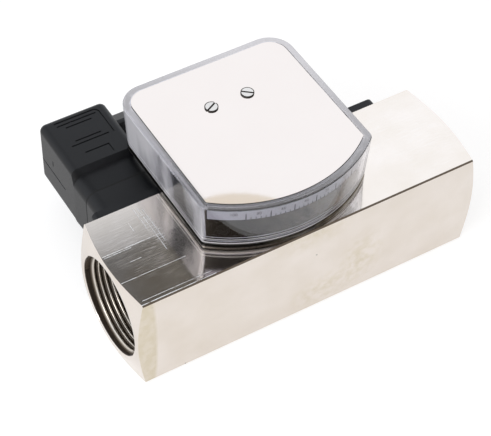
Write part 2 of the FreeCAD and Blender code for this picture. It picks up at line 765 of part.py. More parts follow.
def make_pillar_screws():
    """Countersunk screws from below the base plate into the pillars."""
    return Part.makeCompound([
        countersunk(
            PLATE_SCREW_RADIUS,
            PLATE_SCREW_HEAD_RADIUS,
            HEAD_X + offset,
            PIVOT_Y,
            BAR_TOP,
            BASE_TOP + PILLAR_SCREW_BITE,
        )
        for offset in PILLAR_OFFSETS
    ])


def make_bearing_bridge():
    """Strip across the pillars under the cover's roof, with the upper bearing at its middle."""
    ends = [
        rod(
            BRIDGE_HALF_WIDTH,
            V(HEAD_X + offset, PIVOT_Y, BRIDGE_UNDER),
            V(HEAD_X + offset, PIVOT_Y, ROOF_UNDER),
        )
        for offset in PILLAR_OFFSETS
    ]
    strip = block(
        (HEAD_X + PILLAR_OFFSETS[0], HEAD_X + PILLAR_OFFSETS[1]),
        (PIVOT_Y - BRIDGE_HALF_WIDTH, PIVOT_Y + BRIDGE_HALF_WIDTH),
        (BRIDGE_UNDER, ROOF_UNDER),
    )
    holes = [
        rod(
            PLATE_SCREW_RADIUS + DRILL_GAP,
            V(HEAD_X + offset, PIVOT_Y, BRIDGE_UNDER),
            V(HEAD_X + offset, PIVOT_Y, ROOF_UNDER),
        )
        for offset in PILLAR_OFFSETS
    ]
    holes.append(rod(BEARING_RADIUS + FIT, on_pivot(BRIDGE_UNDER), on_pivot(ROOF_UNDER)))
    return merged([strip] + ends).cut(holes)


def make_pivot_bearings():
    """Flanged bearing cups, one in the base plate and one in the bridge, facing each other."""
    cups = []
    for seat, way, depth in (
        (BASE_TOP, 1, BASE_PLATE_THICKNESS),
        (BRIDGE_UNDER, -1, BRIDGE_THICKNESS),
    ):
        outer_end = seat - way * depth
        mouth = seat + way * BEARING_FLANGE
        barrel = rod(BEARING_RADIUS, on_pivot(outer_end), on_pivot(seat))
        flange = rod(BEARING_FLANGE_RADIUS, on_pivot(seat), on_pivot(mouth))
        bore = rod(SHAFT_RADIUS + RUNNING, on_pivot(outer_end + way * BEARING_FLOOR), on_pivot(mouth))
        cups.append(merged([barrel, flange]).cut(bore))
    return Part.makeCompound(cups)


def make_pointer_shaft():
    """Thin shaft between the two bearing cups."""
    foot = BAR_TOP + BEARING_FLOOR + SHAFT_END_PLAY
    top = ROOF_UNDER - BEARING_FLOOR - SHAFT_END_PLAY
    return rod(SHAFT_RADIUS, on_pivot(foot), on_pivot(top))


def turned_to_rest(shape):
    """A pointer piece, drawn towards -Y, swung to the zero end of the scale."""
    shape.rotate(on_pivot(0), Z_AXIS, POINTER_REST_DEG)
    return shape


def make_pointer():
    """Tapered arm with a hub, a tail weight and a flag that stands below the scale."""
    top = POINTER_UNDER + POINTER_THICKNESS
    tip_y = PIVOT_Y - POINTER_TIP_RADIUS
    tail_y = PIVOT_Y + POINTER_TAIL
    outline = [
        V(HEAD_X - POINTER_ROOT_WIDTH / 2, PIVOT_Y, POINTER_UNDER),
        V(HEAD_X - POINTER_TIP_WIDTH / 2, tip_y, POINTER_UNDER),
        V(HEAD_X + POINTER_TIP_WIDTH / 2, tip_y, POINTER_UNDER),
        V(HEAD_X + POINTER_ROOT_WIDTH / 2, PIVOT_Y, POINTER_UNDER),
        V(HEAD_X + POINTER_TIP_WIDTH / 2, tail_y, POINTER_UNDER),
        V(HEAD_X - POINTER_TIP_WIDTH / 2, tail_y, POINTER_UNDER),
    ]
    face = Part.Face(Part.makePolygon(outline + outline[:1]))
    arm = face.extrude(V(0, 0, POINTER_THICKNESS))
    flag = block(
        (HEAD_X - POINTER_TIP_WIDTH / 2, HEAD_X + POINTER_TIP_WIDTH / 2),
        (tip_y, tip_y + POINTER_FLAG_THICKNESS),
        (POINTER_UNDER - POINTER_FLAG_DROP, SCALE_FOOT),
    )
    weight_foot = POINTER_UNDER - POINTER_MAGNET_HEIGHT / 2
    weight = rod(POINTER_TAIL_RADIUS, V(HEAD_X, tail_y, weight_foot), V(HEAD_X, tail_y, top))
    hub_top = POINTER_UNDER + POINTER_HUB_HEIGHT
    hub = rod(POINTER_HUB_RADIUS, on_pivot(POINTER_UNDER), on_pivot(hub_top))
    bore = rod(SHAFT_RADIUS + FIT, on_pivot(POINTER_UNDER), on_pivot(hub_top))
    return turned_to_rest(merged([arm, flag, weight, hub]).cut(bore))


def make_pointer_magnet():
    """Follower magnet under the pointer's arm, above the flow axis at mid stroke."""
    place = V(HEAD_X, 0, POINTER_UNDER - POINTER_MAGNET_HEIGHT)
    return turned_to_rest(Part.makeCylinder(POINTER_MAGNET_RADIUS, POINTER_MAGNET_HEIGHT, place))


def make_scale_strip():
    """Curved strip behind the front window, hung under the cover's roof."""
    inset = COVER_WALL + SCALE_GAP
    shell = head_taper(inset, SCALE_FOOT, ROOF_UNDER)
    shell = shell.cut(head_taper(inset + SCALE_THICKNESS, SCALE_FOOT, ROOF_UNDER))
    turn = math.radians(SCALE_HALF_ANGLE_DEG)
    reach = 2 * COVER_ARC_RADIUS
    fan = [
        V(HEAD_X, PIVOT_Y, SCALE_FOOT),
        V(HEAD_X - reach * math.sin(turn), PIVOT_Y - reach * math.cos(turn), SCALE_FOOT),
        V(HEAD_X + reach * math.sin(turn), PIVOT_Y - reach * math.cos(turn), SCALE_FOOT),
    ]
    sector = Part.Face(Part.makePolygon(fan + fan[:1])).extrude(V(0, 0, SCALE_HEIGHT))
    return shell.common(sector)


def make_switch_base():
    """Moulded plate on the bar's back with an open box, rails for the reed holder and lid bosses."""
    plate = rounded_block(
        (SWITCH_LEFT, SWITCH_RIGHT), (BACK_FACE, SWITCH_BACK), (SWITCH_FOOT, SWITCH_TOP), SWITCH_CORNER
    )
    walls = rounded_block(
        (BOX_LEFT, BOX_RIGHT), (SWITCH_BACK, BOX_BACK), (BOX_FOOT, BOX_TOP), SWITCH_BOX_CORNER
    )
    hollow = rounded_block(
        (BOX_LEFT + SWITCH_WALL, BOX_RIGHT - SWITCH_WALL),
        (SWITCH_BACK, BOX_BACK),
        (BOX_FOOT + SWITCH_WALL, BOX_TOP - SWITCH_WALL),
        SWITCH_BOX_CORNER / 2,
    )
    pieces = [plate, walls.cut(hollow)]
    pieces += [
        rod(LID_BOSS_RADIUS, V(x, SWITCH_BACK, z), V(x, BOX_BACK, z)).common(walls)
        for x, z in lid_screw_places()
    ]
    pieces += switch_rails()
    cuts = [
        rod(LID_SCREW_RADIUS + FIT, V(x, BOX_BACK - LID_SCREW_BITE - FIT, z), V(x, BOX_BACK, z))
        for x, z in lid_screw_places()
    ]
    cuts += [
        rod(SWITCH_SCREW_RADIUS + DRILL_GAP, V(x, BACK_FACE, z), V(x, SWITCH_BACK, z))
        for x, z in switch_screw_places()
    ]
    return merged(pieces).cut(cuts)


def switch_rails():
    """Two hooked rails that keep the reed holder on the plate and let it slide along the bar."""
    reach = REED_HOLDER_LENGTH / 2 + REED_ADJUST + RAIL_WALL
    along = (HEAD_X - reach, HEAD_X + reach)
    web = REED_FLANGE_HALF + RAIL_GAP
    lip = REED_BLOCK_HALF + RAIL_GAP
    lip_y = REED_BLOCK_Y + RAIL_GAP
    rails = []
    for side in (-1, 1):
        web_span = sorted((SWITCH_MID_Z + side * web, SWITCH_MID_Z + side * (web + RAIL_WALL)))
        lip_span = sorted((SWITCH_MID_Z + side * lip, SWITCH_MID_Z + side * (web + RAIL_WALL)))
        rails.append(block(along, (SWITCH_BACK, lip_y + RAIL_WALL), web_span))
        rails.append(block(along, (lip_y, lip_y + RAIL_WALL), lip_span))
    return rails


def make_switch_lid():
    """Flat lid that closes the box from behind."""
    lid = rounded_block(
        (BOX_LEFT, BOX_RIGHT), (BOX_BACK, BOX_BACK + SWITCH_LID), (BOX_FOOT, BOX_TOP), SWITCH_BOX_CORNER
    )
    return lid.cut([
        rod(LID_SCREW_RADIUS + DRILL_GAP, V(x, BOX_BACK, z), V(x, BOX_BACK + SWITCH_LID, z))
        for x, z in lid_screw_places()
    ])


def pan_head_screw(radius, head_radius, head, x, z, seat, end):
    """Screw along Y with a round head behind its seat."""
    shank = rod(radius, V(x, end, z), V(x, seat, z))
    cap = rod(head_radius, V(x, seat, z), V(x, seat + head, z))
    return merged([shank, cap])


def make_lid_screws():
    """Screws in the corners of the lid."""
    return Part.makeCompound([
        pan_head_screw(
            LID_SCREW_RADIUS,
            LID_SCREW_HEAD_RADIUS,
            LID_SCREW_HEAD,
            x,
            z,
            BOX_BACK + SWITCH_LID,
            BOX_BACK - LID_SCREW_BITE,
        )
        for x, z in lid_screw_places()
    ])


def make_switch_screws():
    """Screws that hold the contact housing on the bar."""
    return Part.makeCompound([
        pan_head_screw(
            SWITCH_SCREW_RADIUS,
            SWITCH_SCREW_HEAD_RADIUS,
            SWITCH_SCREW_HEAD,
            x,
            z,
            SWITCH_BACK,
            BACK_FACE - SWITCH_SCREW_BITE,
        )
        for x, z in switch_screw_places()
    ])


def make_reed_holder():
    """Sliding holder: a flange under the rails' hooks and a block bored for the reed contact."""
    along = (HEAD_X - REED_HOLDER_LENGTH / 2, HEAD_X + REED_HOLDER_LENGTH / 2)
    flange = block(
        along,
        (REED_FLANGE_Y, REED_BLOCK_Y),
        (SWITCH_MID_Z - REED_FLANGE_HALF, SWITCH_MID_Z + REED_FLANGE_HALF),
    )
    upper = block(
        along,
        (REED_BLOCK_Y, REED_BLOCK_Y + REED_BLOCK_HEIGHT),
        (SWITCH_MID_Z - REED_BLOCK_HALF, SWITCH_MID_Z + REED_BLOCK_HALF),
    )
    bore = rod(REED_RADIUS + FIT, V(along[0], REED_Y, SWITCH_MID_Z), V(along[1], REED_Y, SWITCH_MID_Z))
    return merged([flange, upper]).cut(bore)


def make_reed_switch():
    """Glass reed contact with a lead at each end."""
    half = REED_LENGTH / 2
    pieces = [
        rod(radius, V(HEAD_X - reach, REED_Y, SWITCH_MID_Z), V(HEAD_X + reach, REED_Y, SWITCH_MID_Z))
        for radius, reach in ((REED_RADIUS, half), (REED_LEAD_RADIUS, half + REED_LEAD))
    ]
    return merged(pieces)


def make_socket():
    """Connector base on the contact housing, with slots for the blades and a tapped middle."""
    x_span = (PLUG_X - SOCKET_WIDTH / 2, PLUG_X + SOCKET_WIDTH / 2)
    z_span = (PLUG_Z - SOCKET_HEIGHT / 2, PLUG_Z + SOCKET_HEIGHT / 2)
    base = rounded_block(x_span, (SWITCH_BACK, SOCKET_BACK), z_span, SOCKET_CORNER)
    thread = rod(
        PLUG_SCREW_RADIUS + FIT,
        V(PLUG_X, SOCKET_BACK - PLUG_SCREW_BITE - FIT, PLUG_Z),
        V(PLUG_X, SOCKET_BACK, PLUG_Z),
    )
    return base.cut(pin_blade(FIT, SOCKET_BACK - PIN_ROOT, SOCKET_BACK) + [thread])


def make_contact_pins():
    """Four contact blades standing out of the socket."""
    return Part.makeCompound(pin_blade(0, SOCKET_BACK - PIN_ROOT, SOCKET_BACK + PIN_LENGTH))


def make_plug_seal():
    """Flat seal between the socket and the plug, open round the blades and the screw."""
    x_span = (PLUG_X - SOCKET_WIDTH / 2, PLUG_X + SOCKET_WIDTH / 2)
    z_span = (PLUG_Z - SOCKET_HEIGHT / 2, PLUG_Z + SOCKET_HEIGHT / 2)
    seal = rounded_block(x_span, (SOCKET_BACK, SKIRT_FRONT), z_span, SOCKET_CORNER)
    hole = rod(
        PLUG_SCREW_RADIUS + DRILL_GAP, V(PLUG_X, SOCKET_BACK, PLUG_Z), V(PLUG_X, SKIRT_FRONT, PLUG_Z)
    )
    return seal.cut(pin_blade(DRILL_GAP, SOCKET_BACK, SKIRT_FRONT) + [hole])


def hood_outline(grow, y):
    """The hood's outline across Y, grown on each side."""
    return rounded_outline(
        (HOOD_LEFT - grow, HOOD_RIGHT + grow), (HOOD_FOOT - grow, HOOD_TOP + grow), HOOD_CORNER, y
    )


def skirt_outline(inset, y):
    """The skirt's outline across Y, moved inwards: as wide as the hood, but centred on the screw."""
    half_height = SKIRT_HEIGHT / 2 - inset
    return rounded_outline(
        (HOOD_LEFT + inset, HOOD_RIGHT - inset),
        (PLUG_Z - half_height, PLUG_Z + half_height),
        SKIRT_CORNER,
        y,
    )


def hood_cavity(inset, back):
    """Room inside the hood and the skirt, moved inwards, from the seal to a Y level."""
    wall = HOOD_WALL + inset
    skirt_top = PLUG_Z + SKIRT_HEIGHT / 2 - SKIRT_DRAFT
    return block(
        (HOOD_LEFT + wall, HOOD_RIGHT - wall), (SKIRT_FRONT, back), (HOOD_FOOT + wall, skirt_top - wall)
    )


def top_groove(x_span, y_span):
    """Straight groove in the hood's top."""
    return block(x_span, y_span, (HOOD_TOP - GROOVE_DEPTH, HOOD_TOP))


def hood_grooves():
    """Moulded lines: rows and a rounded border on the hood's top, a tab, a parting line and a latch slot."""
    half = GROOVE_WIDTH / 2
    cuts = []
    for setback, length in zip(LINE_SETBACKS, LINE_HALF_LENGTHS):
        y = HOOD_BACK - setback
        cuts.append(top_groove((PLUG_X - length, PLUG_X + length), (y - half, y + half)))
    border_y = HOOD_BACK - BORDER_SETBACK
    border_x = PLUG_X + BORDER_RIGHT
    bend = V(border_x - GROOVE_CORNER, border_y - GROOVE_CORNER, HOOD_TOP - GROOVE_DEPTH)
    ring = pipe(GROOVE_CORNER + half, GROOVE_CORNER - half, bend, bend + V(0, 0, GROOVE_DEPTH))
    quarter = top_groove((bend.x, border_x + half), (bend.y, border_y + half))
    cuts.append(ring.common(quarter))
    cuts.append(top_groove((PLUG_X - BORDER_LEFT, bend.x), (border_y - half, border_y + half)))
    cuts.append(top_groove((border_x - half, border_x + half), (HOOD_BACK - BORDER_END, bend.y)))
    tab_y = HOOD_BACK - TAB_SETBACK
    tab_x = PLUG_X + TAB_HALF_LENGTH
    cuts.append(top_groove((PLUG_X - TAB_HALF_LENGTH, tab_x + half), (tab_y - half, tab_y + half)))
    cuts.append(top_groove((tab_x - half, tab_x + half), (HOOD_BACK - TAB_END, tab_y)))
    side = (HOOD_LEFT, HOOD_LEFT + GROOVE_DEPTH)
    parting_z = HOOD_TOP - PARTING_DROP
    cuts.append(block(side, (HOOD_BACK - PARTING_END, HOOD_BACK), (parting_z - half, parting_z + half)))
    latch_y = HOOD_BACK - LATCH_SETBACK
    latch_z = HOOD_TOP - LATCH_TOP
    cuts.append(block(side, (latch_y - half, latch_y + half), (latch_z - LATCH_HEIGHT, latch_z)))
    return cuts


def make_plug_hood():
    """Moulded plug housing: square hood, shoulder and skirt down to the seal, and the gland's spigot."""
    hood = Part.Face(hood_outline(0, HOOD_FRONT)).extrude(V(0, HOOD_LENGTH, 0))
    far_edges = [edge for edge in hood.Edges if edge.BoundBox.YMin > HOOD_BACK - FIT]
    hood = hood.makeFillet(HOOD_FAR_ROUND, far_edges)
    skirt = Part.makeLoft(
        [skirt_outline(SKIRT_DRAFT, SKIRT_FRONT), skirt_outline(0, SHOULDER_FRONT)], True, True
    )
    shoulder = Part.makeLoft([skirt_outline(0, SHOULDER_FRONT), hood_outline(0, HOOD_FRONT)], True, True)
    gland_start = V(HOOD_RIGHT - HOOD_WALL, GLAND_Y, HOOD_Z)
    spigot_end = V(SPIGOT_END, GLAND_Y, HOOD_Z)
    spigot = rod(GLAND_SPIGOT_RADIUS, gland_start, spigot_end)
    cuts = [
        hood_cavity(0, HOOD_FLOOR),
        rod(GLAND_SPIGOT_BORE, gland_start, spigot_end),
        rod(PLUG_SCREW_RADIUS + DRILL_GAP, V(PLUG_X, HOOD_FLOOR, PLUG_Z), V(PLUG_X, HOOD_BACK, PLUG_Z)),
    ]
    return merged([hood, shoulder, skirt, spigot]).cut(cuts + hood_grooves())


def make_terminal_insert():
    """Terminal block in the hood, with slots that take the blades."""
    hole = rod(
        PLUG_SCREW_RADIUS + DRILL_GAP, V(PLUG_X, SKIRT_FRONT, PLUG_Z), V(PLUG_X, INSERT_BACK, PLUG_Z)
    )
    slots = pin_blade(INSERT_SLOT_GAP, SKIRT_FRONT, SOCKET_BACK + PIN_LENGTH + INSERT_SLOT_GAP)
    return hood_cavity(INSERT_GAP, INSERT_BACK).cut(slots + [hole])


def make_plug_screw():
    """Long central screw from the back of the hood into the socket."""
    return pan_head_screw(
        PLUG_SCREW_RADIUS,
        PLUG_SCREW_HEAD_RADIUS,
        PLUG_SCREW_HEAD,
        PLUG_X,
        PLUG_Z,
        HOOD_BACK,
        SOCKET_BACK - PLUG_SCREW_BITE,
    )


def make_gland_seal():
    """Rubber sleeve that grips the cable in front of the spigot."""
    start = V(SPIGOT_END, GLAND_Y, HOOD_Z)
    end = V(GLAND_SEAL_END, GLAND_Y, HOOD_Z)
    return pipe(GLAND_SPIGOT_RADIUS, GLAND_SEAL_BORE, start, end)


def make_gland_nut():
    """Hexagon union nut over the spigot, with the cable's hole in its collar."""
    start = V(HOOD_RIGHT + GLAND_NUT_GAP, GLAND_Y, HOOD_Z)
    inner_end = V(GLAND_SEAL_END, GLAND_Y, HOOD_Z)
    end = V(GLAND_NUT_END, GLAND_Y, HOOD_Z)
    nut = hexagon(GLAND_NUT_FLATS, start, end).common(rod(GLAND_NUT_RADIUS, start, end))
    room = rod(GLAND_SPIGOT_RADIUS + FIT, start, inner_end)
    return nut.cut([room, rod(CABLE_BORE_RADIUS, inner_end, end)])


def main():
    """Build every piece and write one file for each."""
    pieces = {
        "body": make_body(),
        "metering_sleeve": make_metering_sleeve(),
        "guide_rod": make_guide_rod(),
        "inlet_spider": make_spider(1),
        "outlet_spider": make_spider(-1),
        "rod_nuts": make_rod_nuts(),
        "retaining_rings": make_retaining_rings(),
        "piston": make_piston(),
        "piston_magnet": make_piston_magnet(),
        "magnet_nut": make_magnet_nut(),
        "return_spring": make_return_spring(),
        "base_plate": make_base_plate(),
        "base_plate_screws": make_base_plate_screws(),
        "cover_gasket": make_cover_gasket(),
        "clear_cover": make_clear_cover(),
        "top_plate": make_top_plate(),
        "plate_screws": make_plate_screws(),
        "pillars": make_pillars(),
        "pillar_screws": make_pillar_screws(),
        "bearing_bridge": make_bearing_bridge(),
        "pivot_bearings": make_pivot_bearings(),
        "pointer_shaft": make_pointer_shaft(),
        "pointer": make_pointer(),
        "pointer_magnet": make_pointer_magnet(),
        "scale_strip": make_scale_strip(),
        "switch_base": make_switch_base(),
        "switch_lid": make_switch_lid(),
        "lid_screws": make_lid_screws(),
        "switch_screws": make_switch_screws(),
        "reed_holder": make_reed_holder(),
        "reed_switch": make_reed_switch(),
        "socket": make_socket(),
        "contact_pins": make_contact_pins(),
        "plug_seal": make_plug_seal(),
        "plug_hood": make_plug_hood(),
        "terminal_insert": make_terminal_insert(),
        "plug_screw": make_plug_screw(),
        "gland_seal": make_gland_seal(),
        "gland_nut": make_gland_nut(),
    }
    os.makedirs("parts", exist_ok=True)
    for name, shape in pieces.items():
        shape.exportStep(os.path.join("parts", name + ".step"))


main()
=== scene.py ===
"""Looks of a variable area flow meter: its finishes, pipe threads, printed scale and studio.

Frame: metres, origin at the centre of the bar's bottom face, +X to the inlet port, +Y to the back, +Z up.
"""
import json
import logging
import math
from dataclasses import dataclass
from enum import Enum

import bpy
import numpy as np
from mathutils import Matrix, Vector

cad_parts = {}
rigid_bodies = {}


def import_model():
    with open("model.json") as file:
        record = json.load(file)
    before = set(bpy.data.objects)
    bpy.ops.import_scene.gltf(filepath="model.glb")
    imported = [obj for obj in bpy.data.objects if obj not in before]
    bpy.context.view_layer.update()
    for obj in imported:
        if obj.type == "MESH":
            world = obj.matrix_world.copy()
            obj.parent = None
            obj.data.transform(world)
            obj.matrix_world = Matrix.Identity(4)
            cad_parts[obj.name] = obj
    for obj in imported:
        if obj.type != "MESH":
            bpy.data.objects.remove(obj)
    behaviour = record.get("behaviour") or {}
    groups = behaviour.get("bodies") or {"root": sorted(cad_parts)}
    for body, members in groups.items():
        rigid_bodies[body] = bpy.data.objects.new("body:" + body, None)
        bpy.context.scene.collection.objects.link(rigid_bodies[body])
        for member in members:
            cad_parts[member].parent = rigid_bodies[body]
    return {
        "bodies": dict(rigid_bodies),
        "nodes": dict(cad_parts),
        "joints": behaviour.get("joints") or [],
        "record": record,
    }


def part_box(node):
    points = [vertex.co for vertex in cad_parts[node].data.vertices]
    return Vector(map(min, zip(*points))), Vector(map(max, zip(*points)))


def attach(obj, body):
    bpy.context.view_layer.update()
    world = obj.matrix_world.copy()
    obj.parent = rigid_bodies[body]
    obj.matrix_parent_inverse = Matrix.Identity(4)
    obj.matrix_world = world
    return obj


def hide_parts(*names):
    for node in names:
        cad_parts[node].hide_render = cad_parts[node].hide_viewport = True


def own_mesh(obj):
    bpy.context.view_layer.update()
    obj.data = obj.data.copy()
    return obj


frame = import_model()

LOG = logging.getLogger("flow_meter")
MM = 0.001
PHOTO_WIDTH = 491
FIXED_BODY = "meter_body"
WHITE = "#FFFFFF"

Socket = bpy.types.NodeSocket
Value = Socket | tuple | float
Pair = tuple[float, float]
Triple = tuple[float, float, float]


class Drive(Enum):
    """Recess that a screwdriver fits."""

    SLOT = "slot"
    CROSS = "cross"


class Lay(Enum):
    """Direction that a cutting tool leaves its lines in, as the turn of the pattern about X, Y and Z."""

    ALONG_X = (0.0, 0.0, 0.0)
    ALONG_Y = (0.0, 0.0, math.pi / 2)
    ALONG_Z = (0.0, math.pi / 2, 0.0)


def linear(colour: str) -> tuple[float, float, float, float]:
    """Turn an sRGB hex colour into linear light, by the standard's own curve.

    Args:
        colour: six hex digits after a hash sign.

    Returns:
        Red, green, blue and alpha for a colour socket.
    """
    channels = [int(colour[start:start + 2], 16) / 255 for start in (1, 3, 5)]
    light = [c / 12.92 if c <= 0.04045 else ((c + 0.055) / 1.055) ** 2.4 for c in channels]
    return light[0], light[1], light[2], 1.0


def entry(rows: list, name: str) -> dict:
    """Give the joint or mount of that name from the record's list."""
    return next(row for row in rows if row["name"] == name)


def level(node: str, end: int) -> float:
    """Height in millimetres of a node's lowest point (end 0) or highest point (end 1)."""
    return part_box(node)[end].z / MM


def per_metre(size_mm: float) -> float:
    """Pattern cells in a metre for one cell of the given size in millimetres."""
    return 1 / (size_mm * MM)


@dataclass
class Nodes:
    """Nodes of a material or of the room, and the shader that they lead to."""

    tree: bpy.types.NodeTree
    shader: bpy.types.Node

    def put(self, socket: Socket, value: Value) -> None:
        """Link an input to another node's output, or set it to a value.

        Args:
            socket: the input.
            value: output, colour or number that it takes.
        """
        if isinstance(value, Socket):
            self.tree.links.new(value, socket)
        else:
            socket.default_value = value

    def add(
        self, kind: str, *values: Value, output: int | str = 0, named: dict | None = None, **settings: str,
    ) -> Socket:
        """Add a node with its settings and links.

        Args:
            kind: Blender's name of the node type, without the ShaderNode before it.
            values: value or linked output for the node's first inputs, in Blender's order.
            output: name or number of the output that is asked for.
            named: value or linked output for other inputs, by name.
            settings: properties of the node.

        Returns:
            The output that is asked for.
        """
        node = self.tree.nodes.new(f"ShaderNode{kind}")
        for name, value in settings.items():
            setattr(node, name, value)
        for name, value in [*enumerate(values), *(named or {}).items()]:
            self.put(node.inputs[name], value)
        return node.outputs[output]

    def set(self, values: dict) -> None:
        """Set or link inputs of the shader, by name."""
        for name, value in values.items():
            self.put(self.shader.inputs[name], value)

    def layer(self, where: Socket, values: dict) -> None:
        """Lay values over what the shader's inputs already have.

        Args:
            where: 1 where the values show, 0 where they don't.
            values: output, colour or number for each input, by name.
        """
        for name, value in values.items():
            socket = self.shader.inputs[name]
            below = socket.links[0].from_socket if socket.is_linked else socket.default_value
            kind = "RGBA" if socket.type == "RGBA" else "FLOAT"
            mixed = {"Factor": where, "A": below, "B": value}
            self.put(socket, self.add("Mix", output="Result", named=mixed, data_type=kind))


def start_material(name: str, values: dict) -> tuple[bpy.types.Material, Nodes]:
    """Start a material with one shader.

    Args:
        name: name of the material.
        values: what the shader's inputs are set to, by name.

    Returns:
        The material and its nodes.
    """
    material = bpy.data.materials.new(name)
    material.use_nodes = True
    surface = Nodes(material.node_tree, material.node_tree.nodes["Principled BSDF"])
    surface.set(values)
    return material, surface


def put_in_scene(name: str, data: bpy.types.ID) -> bpy.types.Object:
    """Put a new object into the scene, at the origin.

    Args:
        name: name of the object.
        data: its mesh, lamp or lens.

    Returns:
        The object.
    """
    thing = bpy.data.objects.new(name, data)
    bpy.context.scene.collection.objects.link(thing)
    return thing


def riding_piece(name: str, mesh: bpy.types.Mesh) -> bpy.types.Object:
    """Make a piece that rides on the fixed body.

    Args:
        name: name of the piece.
        mesh: its mesh, in place.

    Returns:
        The piece.
    """
    mesh.update()
    piece = put_in_scene(name, mesh)
    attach(piece, FIXED_BODY)
    LOG.info("built %s: %d faces", name, len(mesh.polygons))
    return piece


def mesh_piece(name: str, points: np.ndarray, faces: list) -> bpy.types.Object:
    """Make a piece from arrays.

    Args:
        name: name of the piece.
        points: corners in metres, in the last axis.
        faces: corner numbers of each face, outwards.

    Returns:
        The piece.
    """
    mesh = bpy.data.meshes.new(name)
    mesh.from_pydata(points.reshape(-1, 3), [], faces)
    return riding_piece(name, mesh)


def stage_sheet(name: str, outline: np.ndarray, material: bpy.types.Material) -> bpy.types.Object:
    """Make a flat sheet of the stage, which isn't part of the object.

    Args:
        name: name of the sheet.
        outline: its corners in metres.
        material: its material.

    Returns:
        The sheet.
    """
    mesh = bpy.data.meshes.new(name)
    mesh.from_pydata(outline, [], [list(range(len(outline)))])
    mesh.materials.append(material)
    sheet = put_in_scene(name, mesh)
    return sheet


def swept_faces(rings: int, sides: int) -> list:
    """Faces of a closed profile carried along a path, with both ends capped.

    Args:
        rings: profiles along the path.
        sides: corners of the profile.

    Returns:
        Quads between neighbouring profiles, and one cap at each end.
    """
    corner = np.arange(rings * sides).reshape(rings, sides)
    following = np.roll(corner, -1, 1)
    quads = np.stack([corner[:-1], following[:-1], following[1:], corner[1:]], -1)
    return quads.reshape(-1, 4).tolist() + [corner[0, ::-1].tolist(), corner[-1].tolist()]


PORT = entry(frame["record"]["mounts"], "outlet_port")
BORE_AXIS_MM = PORT["pos_m"][2] / MM
BORE_RADIUS_MM = PORT["dims"]["r_mm"]


def from_bore_axis(surface: Nodes, place: Socket) -> Socket:
    """Give the distance from the bore's axis, which runs along X.

    Args:
        surface: the material's nodes.
        place: place on the piece.

    Returns:
        The distance in metres.
    """
    flat = surface.add("VectorMath", place, (0, 1, 1), operation="MULTIPLY")
    return surface.add("VectorMath", flat, (0, 0, BORE_AXIS_MM * MM), operation="DISTANCE", output="Value")


def cut_lines(surface: Nodes, place: Socket, lay: Lay, run_mm: float, line_mm: float) -> Socket:
    """Give the fine lines that a tool cuts: noise stretched along its path.

    Args:
        surface: the material's nodes.
        place: place on the piece.
        lay: direction of the lines.
        run_mm: length of a line.
        line_mm: width of a line.

    Returns:
        The noise.
    """
    scale = per_metre(run_mm), per_metre(line_mm), per_metre(line_mm)
    stretched = surface.add("Mapping", place, named={"Rotation": lay.value, "Scale": scale})
    return surface.add("TexNoise", stretched, named={"Scale": 1.0, "Detail": 3.0})


@dataclass(frozen=True, kw_only=True)
class Finish:
    """A finish: a real material and how its surface was made."""

    name: str
    colour: str
    roughness: float

    def material(self) -> bpy.types.Material:
        """Make the material: a plain shader that detail() then works on.

        Returns:
            The material.
        """
        plain = {"Base Color": linear(self.colour), "Roughness": self.roughness}
        material, surface = start_material(self.name, plain)
        self.detail(surface, surface.add("TexCoord", output="Object"))
        return material

    def detail(self, surface: Nodes, place: Socket) -> None:
        """Add what the surface's making leaves on it.

        Args:
            surface: the material's nodes.
            place: place on the piece.
        """
        raise NotImplementedError


@dataclass(frozen=True, kw_only=True)
class CutMetal(Finish):
    """Bare or plated metal after cutting: a mirror with fine lines along the cut and faint blotches.

    The lines of a real cut are 0.05 to 0.1 mm apart, and are drawn coarser to show.
    """

    light: str
    lay: Lay = Lay.ALONG_Z
    line_mm: float = 0.3
    run_mm: float = 12.0
    line_depth_mm: float = 0.0008
    blotch_mm: float = 8.0
    gloss_range: Pair = (0.1, 0.4)
    gloss_spread: Pair = (0.7, 1.4)

    def detail(self, surface: Nodes, place: Socket) -> None:
        """Lines along the cut in height and gloss, and wide blotches in gloss and colour.

        Args:
            surface: the material's nodes.
            place: place on the piece.
        """
        lines = cut_lines(surface, place, self.lay, self.run_mm, self.line_mm)
        blotch = surface.add("TexNoise", place, named={"Scale": per_metre(self.blotch_mm), "Detail": 4.0})
        surface.layer(blotch, {"Base Color": linear(self.light)})
        both = surface.add("Math", lines, blotch, operation="MULTIPLY")
        least, most = (self.roughness * share for share in self.gloss_spread)
        relief = {"Height": lines, "Distance": self.line_depth_mm * MM, "Strength": 1.0}
        surface.set({
            "Metallic": 1.0,
            "Roughness": surface.add("MapRange", both, *self.gloss_range, least, most),
            "Normal": surface.add("Bump", named=relief),
        })


@dataclass(frozen=True, kw_only=True)
class SheetMetal(CutMetal):
    """Bright sheet whose sheared edge is dull, and painted dark as the shade of the gap beside it."""

    edge_shade: str
    edge_facing: Pair = (0.5, 0.8)
    edge_roughness: float = 0.5

    def detail(self, surface: Nodes, place: Socket) -> None:
        """Cut metal, then the edge's painted shade, where the surface faces sideways.

        Args:
            surface: the material's nodes.
            place: place on the piece.
        """
        super().detail(surface, place)
        normal = surface.add("NewGeometry", output="Normal")
        flat = surface.add("VectorMath", normal, (1, 1, 0), operation="MULTIPLY")
        sideways = surface.add("VectorMath", flat, operation="LENGTH", output="Value")
        edge_shade_mask = surface.add("MapRange", sideways, *self.edge_facing)
        # painted shade: the sideways edge is dark, for the shadowed gap beside it
        surface.layer(edge_shade_mask, {"Base Color": linear(self.edge_shade), "Roughness": self.edge_roughness})


@dataclass(frozen=True)
class Scratch:
    """A straight line in the top face, along X or along Y."""

    lay: Lay
    at_mm: float
    span_mm: Pair
    half_width_mm: float = 0.12


@dataclass(frozen=True)
class Pass:
    """Border between two milling passes, and how much the one in front of it leans forward."""

    at_mm: float
    lean: float


